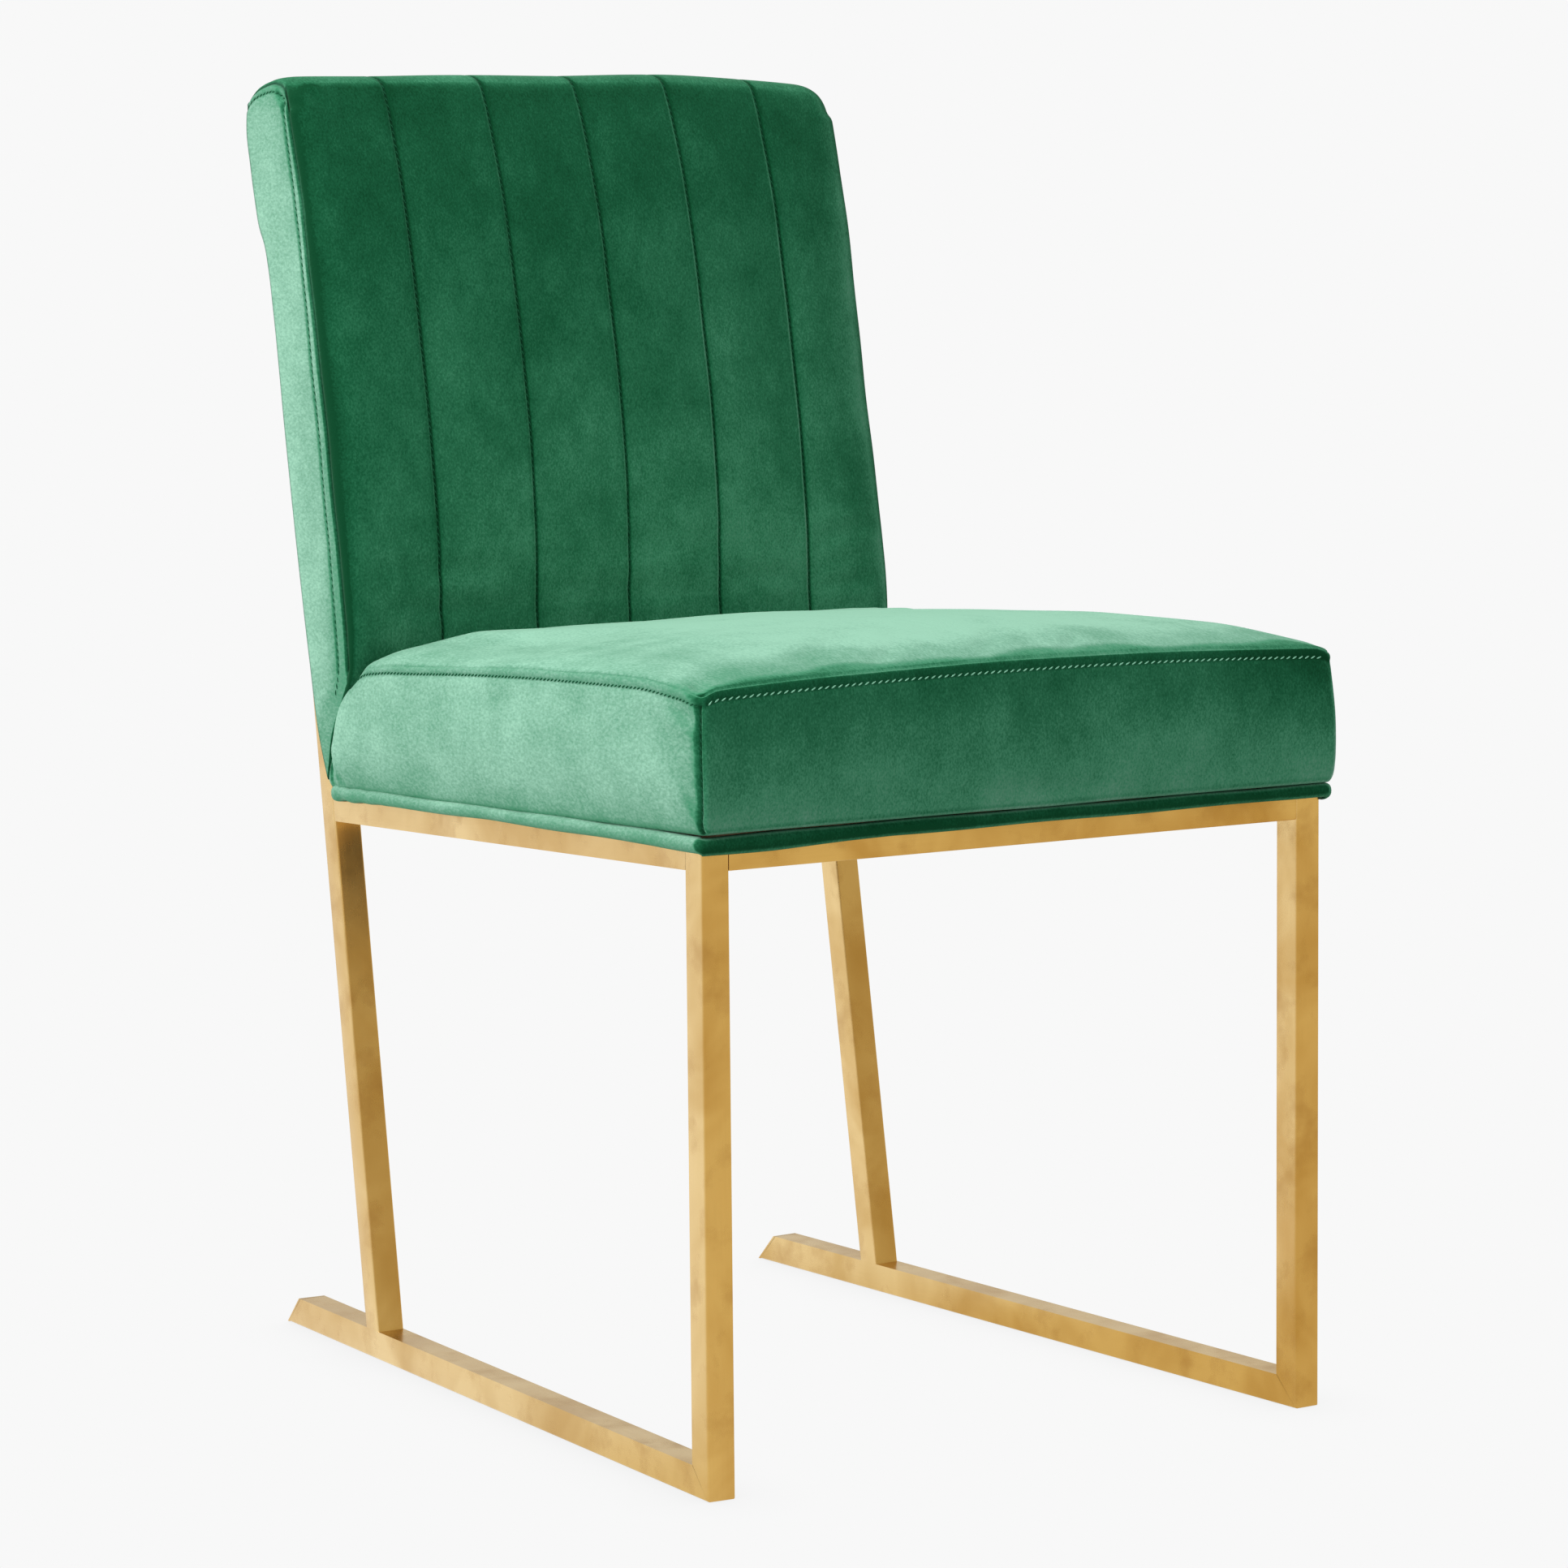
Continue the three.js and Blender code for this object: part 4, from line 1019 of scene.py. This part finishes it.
def backrest():
    nx, ny, nz = BACK_COUNTS
    places, quads, number = box_grid(BACK_COUNTS)
    piece = new_piece("backrest_cushion", from_back(back_shape(places)), quads)
    i, j, k = places.T
    on_side = (i == 0) | (i == nx)
    channels = [CHANNEL_CELLS * n for n in range(1, 6)]
    seam = (np.isin(i, channels) | on_side) & ((j == 0) | (k == nz))
    puff(piece, np.flatnonzero(seam | (j == ny) | (k == 0)))
    subdivide(piece)
    channel_lines = [
        [number[c, 0, z] for z in range(nz + 1)] + [number[c, y, nz] for y in range(1, ny + 1)]
        for c in channels]
    edge_lines = [
        [number[x, 0, z] for z in range(nz + 1)] + [number[x, y, nz] for y in range(1, ny + 1)]
        for x in (0, nx)]
    top_row = nz - TOP_BAND_ROWS
    side_threads = [
        [number[x, SIDE_BAND_ROW, z] for z in range(STITCHES_FIRST_ROW, top_row)]
        + [number[x, y, top_row] for y in range(SIDE_BAND_ROW, ny + 1)] for x in (0, nx)]
    rear_edges = [[number[x, ny, z] for z in range(nz + 1)] for x in (0, nx)]
    points, normals = read_points(piece.data), read_normals(piece.data)
    distances = distances_to(points, {
        "channel": channel_lines, "edge": edge_lines, "thread": side_threads, "rear edge": rear_edges})
    places = to_back(points)
    low = FADE_BELOW * smooth_step(places[:, 2], STITCHES_FULL, STITCHES_START)
    distances["edge"] += low
    distances["thread"] += low
    uneven = smooth_step(places[:, 1], *BACK_UNEVEN_FROM)
    press_in(piece, places, distances, BACK_GROOVES, BACK_FOLDS, uneven)
    write_value(piece.data, "shade", np.clip(beside_lines(distances, BACK_SHADES), 0, 1))
    # painted shade beside the seams and the painted shadow of the seat
    painted_shade = beside_lines(distances, BACK_PAINTED_SEAM_SHADE) + painted_seat_shadow(points)
    write_value(piece.data, "pile_and_painted_light", back_painted_light_and_shade(places, normals) - painted_shade)
    points = read_points(piece.data)
    finish_piece(piece, VELVET, "velvet", "backrest_cover", "backrest_foam", "backrest_hood_pad")
    for n, line in enumerate(channel_lines, 1):
        stitches(f"channel_{n}_stitches", points[line], normals[line], THREAD)
    for side, line in zip(("left", "right"), side_threads):
        stitches(f"backrest_{side}_stitches", points[line], normals[line], THREAD)


PANEL_COUNTS = (44, 1, 60)
PANEL_PILLOW = 3.0


def rear_panel():
    """The thin upholstered panel that closes the back between the posts."""
    places, quads = box_grid(PANEL_COUNTS)[:2]
    i, j, k = places.T
    u, w = 2 * i / PANEL_COUNTS[0] - 1, 2 * k / PANEL_COUNTS[2] - 1
    along = PANEL_BOTTOM + (PANEL_TOP - PANEL_BOTTOM) * (w + 1) / 2
    view = np.array(BACK_REAR_VIEW)
    ahead = catmull(view[:, 1], view[:, 0], along)
    pillow = PANEL_PILLOW * (1 - u ** 6) * (1 - w ** 6)
    ahead = ahead + np.where(j == 0, PANEL_THICKNESS, -pillow)
    piece = new_piece("rear_panel_pad", from_back(np.stack([u * PANEL_HALF_WIDTH, ahead, along], 1)), quads)
    finish_piece(piece, VELVET, "velvet", "backrest_rear_panel")


# ---- gold tubes

TUBE_EDGE = 1.6
TUBE_EDGE_STEPS = 4
BRUSHED_STRETCH = 0.04


def hull_of(node):
    mesh = bmesh.new()
    mesh.from_mesh(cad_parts[node].data)
    bmesh.ops.remove_doubles(mesh, verts=mesh.verts, dist=1e-5)
    found = bmesh.ops.convex_hull(mesh, input=mesh.verts)
    inside = [g for g in found["geom_interior"] + found["geom_unused"] if isinstance(g, bmesh.types.BMVert)]
    bmesh.ops.delete(mesh, geom=list(set(inside)), context="VERTS")
    bmesh.ops.dissolve_limit(mesh, angle_limit=0.01, verts=mesh.verts, edges=mesh.edges)
    return mesh


def tube_direction(edge):
    """Along a tube: upwards, or backwards if it lies flat, or to the right if it runs across."""
    direction = (edge.verts[1].co - edge.verts[0].co).normalized()
    leading = max(range(3), key=lambda n: abs(direction[n]))
    return direction if direction[leading] > 0 else -direction


def gold_tube(node, start=0.0, end=0.0):
    """The CAD tube as a closed bar with soft long edges, its ends moved to meet its neighbours."""
    mesh = hull_of(node)
    edges = sorted(mesh.edges, key=lambda e: -e.calc_length())[:4]
    direction = tube_direction(edges[0])
    for edge in edges:
        low, high = sorted(edge.verts, key=lambda v: v.co.dot(direction))
        low.co -= direction * start * MM
        high.co += direction * end * MM
    bmesh.ops.bevel(mesh, geom=edges, offset=TUBE_EDGE * MM, offset_type="OFFSET",
                    segments=TUBE_EDGE_STEPS, profile=0.5, affect="EDGES", clamp_overlap=True)
    bmesh.ops.recalc_face_normals(mesh, faces=mesh.faces)
    piece = new_piece(f"{node}_tube", [], [])
    mesh.to_mesh(piece.data)
    mesh.free()
    piece.data.shade_smooth()
    piece.data.set_sharp_from_angle(angle=math.radians(40))
    turn = np.array(direction.to_track_quat("Z", "Y").to_matrix())
    stretched = read_points(piece.data) @ turn * (1, 1, BRUSHED_STRETCH)
    attribute = piece.data.attributes.new("brushed", "FLOAT_VECTOR", "POINT")
    attribute.data.foreach_set("vector", stretched.astype(np.float32).ravel())
    return finish_piece(piece, GOLD, "gold_metal", node)


def gold_frame():
    for side in ("left", "right"):
        gold_tube(f"{side}_floor_runner", 0, GAP * math.sqrt(2))
        gold_tube(f"{side}_front_leg", GAP * math.sqrt(2), 0)
        gold_tube(f"{side}_rear_leg_and_back_post", GAP, 0)
        gold_tube(f"{side}_seat_side_rail", GAP, GAP)
    for rail in ("front_seat_rail", "rear_seat_rail", "top_back_rail"):
        gold_tube(rail, GAP, GAP)


# ---- stage

CAMERA_PLACE = Vector((-2.0044, -3.2296, 0.8487))
CAMERA_YAW = 0.5596
CAMERA_PITCH = 0.1158
CAMERA_ROLL = -0.00903
CAMERA_LENS = 127.7
BACKDROP = (0.939, 0.939, 0.939)
BRIGHT_SIDE = (-0.53, 0.84, 0.1)  # the studio is bright behind and to the left
LIGHT_TONES = [(0.0, (0.36, 0.36, 0.36)), (0.5, (0.68, 0.68, 0.68)), (1.0, (1.0, 1.0, 1.0))]
REFLECTED_TONES = [
    (0.0, (0.72, 0.58, 0.30)), (0.3, (0.78, 0.66, 0.40)), (0.7, (0.92, 0.89, 0.82)),
    (1.0, (1.0, 0.99, 0.97)),
]


def camera():
    lens = bpy.data.cameras.new("camera")
    lens.sensor_width = 36
    lens.lens = CAMERA_LENS
    lens.clip_end = 50
    made = bpy.data.objects.new("camera", lens)
    bpy.context.scene.collection.objects.link(made)
    turn = (Matrix.Rotation(-CAMERA_YAW, 4, "Z") @ Matrix.Rotation(math.pi / 2 - CAMERA_PITCH, 4, "X")
            @ Matrix.Rotation(CAMERA_ROLL, 4, "Z"))
    made.matrix_world = Matrix.Translation(CAMERA_PLACE) @ turn
    bpy.context.scene.camera = made


def area_light(name, place, target, size, power, mirrored):
    light = bpy.data.lights.new(name, "AREA")
    light.shape = "DISK"
    light.size = size
    light.energy = power
    made = bpy.data.objects.new(name, light)
    made.location = place
    made.visible_glossy = mirrored
    made.rotation_euler = (Vector(target) - Vector(place)).to_track_quat("-Z", "Y").to_euler()
    bpy.context.scene.collection.objects.link(made)


def studio_tone(tree, direction):
    """The soft surroundings, brighter on one side: white as light, warm in reflections."""
    unit = add(tree, "ShaderNodeVectorMath", {0: direction}, operation="NORMALIZE").outputs[0]
    toward = add(tree, "ShaderNodeVectorMath", {0: unit, 1: BRIGHT_SIDE}, operation="DOT_PRODUCT")
    share = rescale(tree, toward.outputs["Value"], -1.0, 1.0, 0.0, 1.0)
    reflected = add(tree, "ShaderNodeLightPath").outputs["Is Glossy Ray"]
    return blend_color(tree, reflected, ramp(tree, share, LIGHT_TONES), ramp(tree, share, REFLECTED_TONES))


def studio_world():
    world = bpy.data.worlds.new("studio")
    bpy.context.scene.world = world
    world.use_nodes = True
    tree = world.node_tree
    direction = add(tree, "ShaderNodeTexCoord").outputs["Generated"]
    around = add(tree, "ShaderNodeBackground", {"Color": studio_tone(tree, direction), "Strength": 0.75})
    shown = tree.nodes["Background"]
    shown.inputs["Color"].default_value = (*BACKDROP, 1)
    seen = add(tree, "ShaderNodeLightPath").outputs["Is Camera Ray"]
    mix = add(tree, "ShaderNodeMixShader", {0: seen, 1: around.outputs[0], 2: shown.outputs[0]})
    tree.links.new(mix.outputs[0], tree.nodes["World Output"].inputs["Surface"])


def pale_floor():
    """A floor that shows as pale as the backdrop, with a faint shade where the chair stands."""
    floor = new_piece("floor", [(-20, -20, 0), (20, -20, 0), (20, 20, 0), (-20, 20, 0)], [[0, 1, 2, 3]])
    made, tree, shader, _ = material("pale_floor")
    tree.nodes.remove(shader)
    near = add(tree, "ShaderNodeAmbientOcclusion", {"Distance": 0.06}, samples=8).outputs["AO"]
    pale = blend_color(tree, near, (0.84, 0.84, 0.84), BACKDROP)
    place = add(tree, "ShaderNodeNewGeometry").outputs["Position"]
    seen = add(tree, "ShaderNodeLightPath").outputs["Is Camera Ray"]
    tone = blend_color(tree, seen, studio_tone(tree, place), pale)
    glow = add(tree, "ShaderNodeEmission", {"Color": tone, "Strength": 1.0})
    tree.links.new(glow.outputs[0], tree.nodes["Material Output"].inputs["Surface"])
    floor.data.materials.append(made)
    floor.location.z = -0.0005


def stage():
    bpy.context.scene.view_settings.view_transform = "Standard"
    studio_world()
    pale_floor()
    area_light("key", (-3.2, -0.6, 2.4), (0, 0, 0.5), 2.0, 90, True)
    area_light("fill", (1.2, -3.4, 1.2), (0, 0, 0.5), 2.5, 25, False)
    area_light("top", (-0.4, 0.6, 3.5), (0, 0, 0.4), 2.0, 45, False)


# ---- the chair

camera()
stage()
seat_cushion()
welt_roll()
dust_cloth()
backrest()
rear_panel()
gold_frame()


def cad_look(node, look):
    node.data.materials.clear()
    node.data.materials.append(look)


for name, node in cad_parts.items():
    if name.endswith("_board"):
        cad_look(node, PLYWOOD)
    if name.endswith("_seat_bolt"):
        cad_look(node, ZINC)
    if name.endswith(("_seat_tab", "_backrest_bolt", "_end_cap")):
        cad_look(node, GOLD)
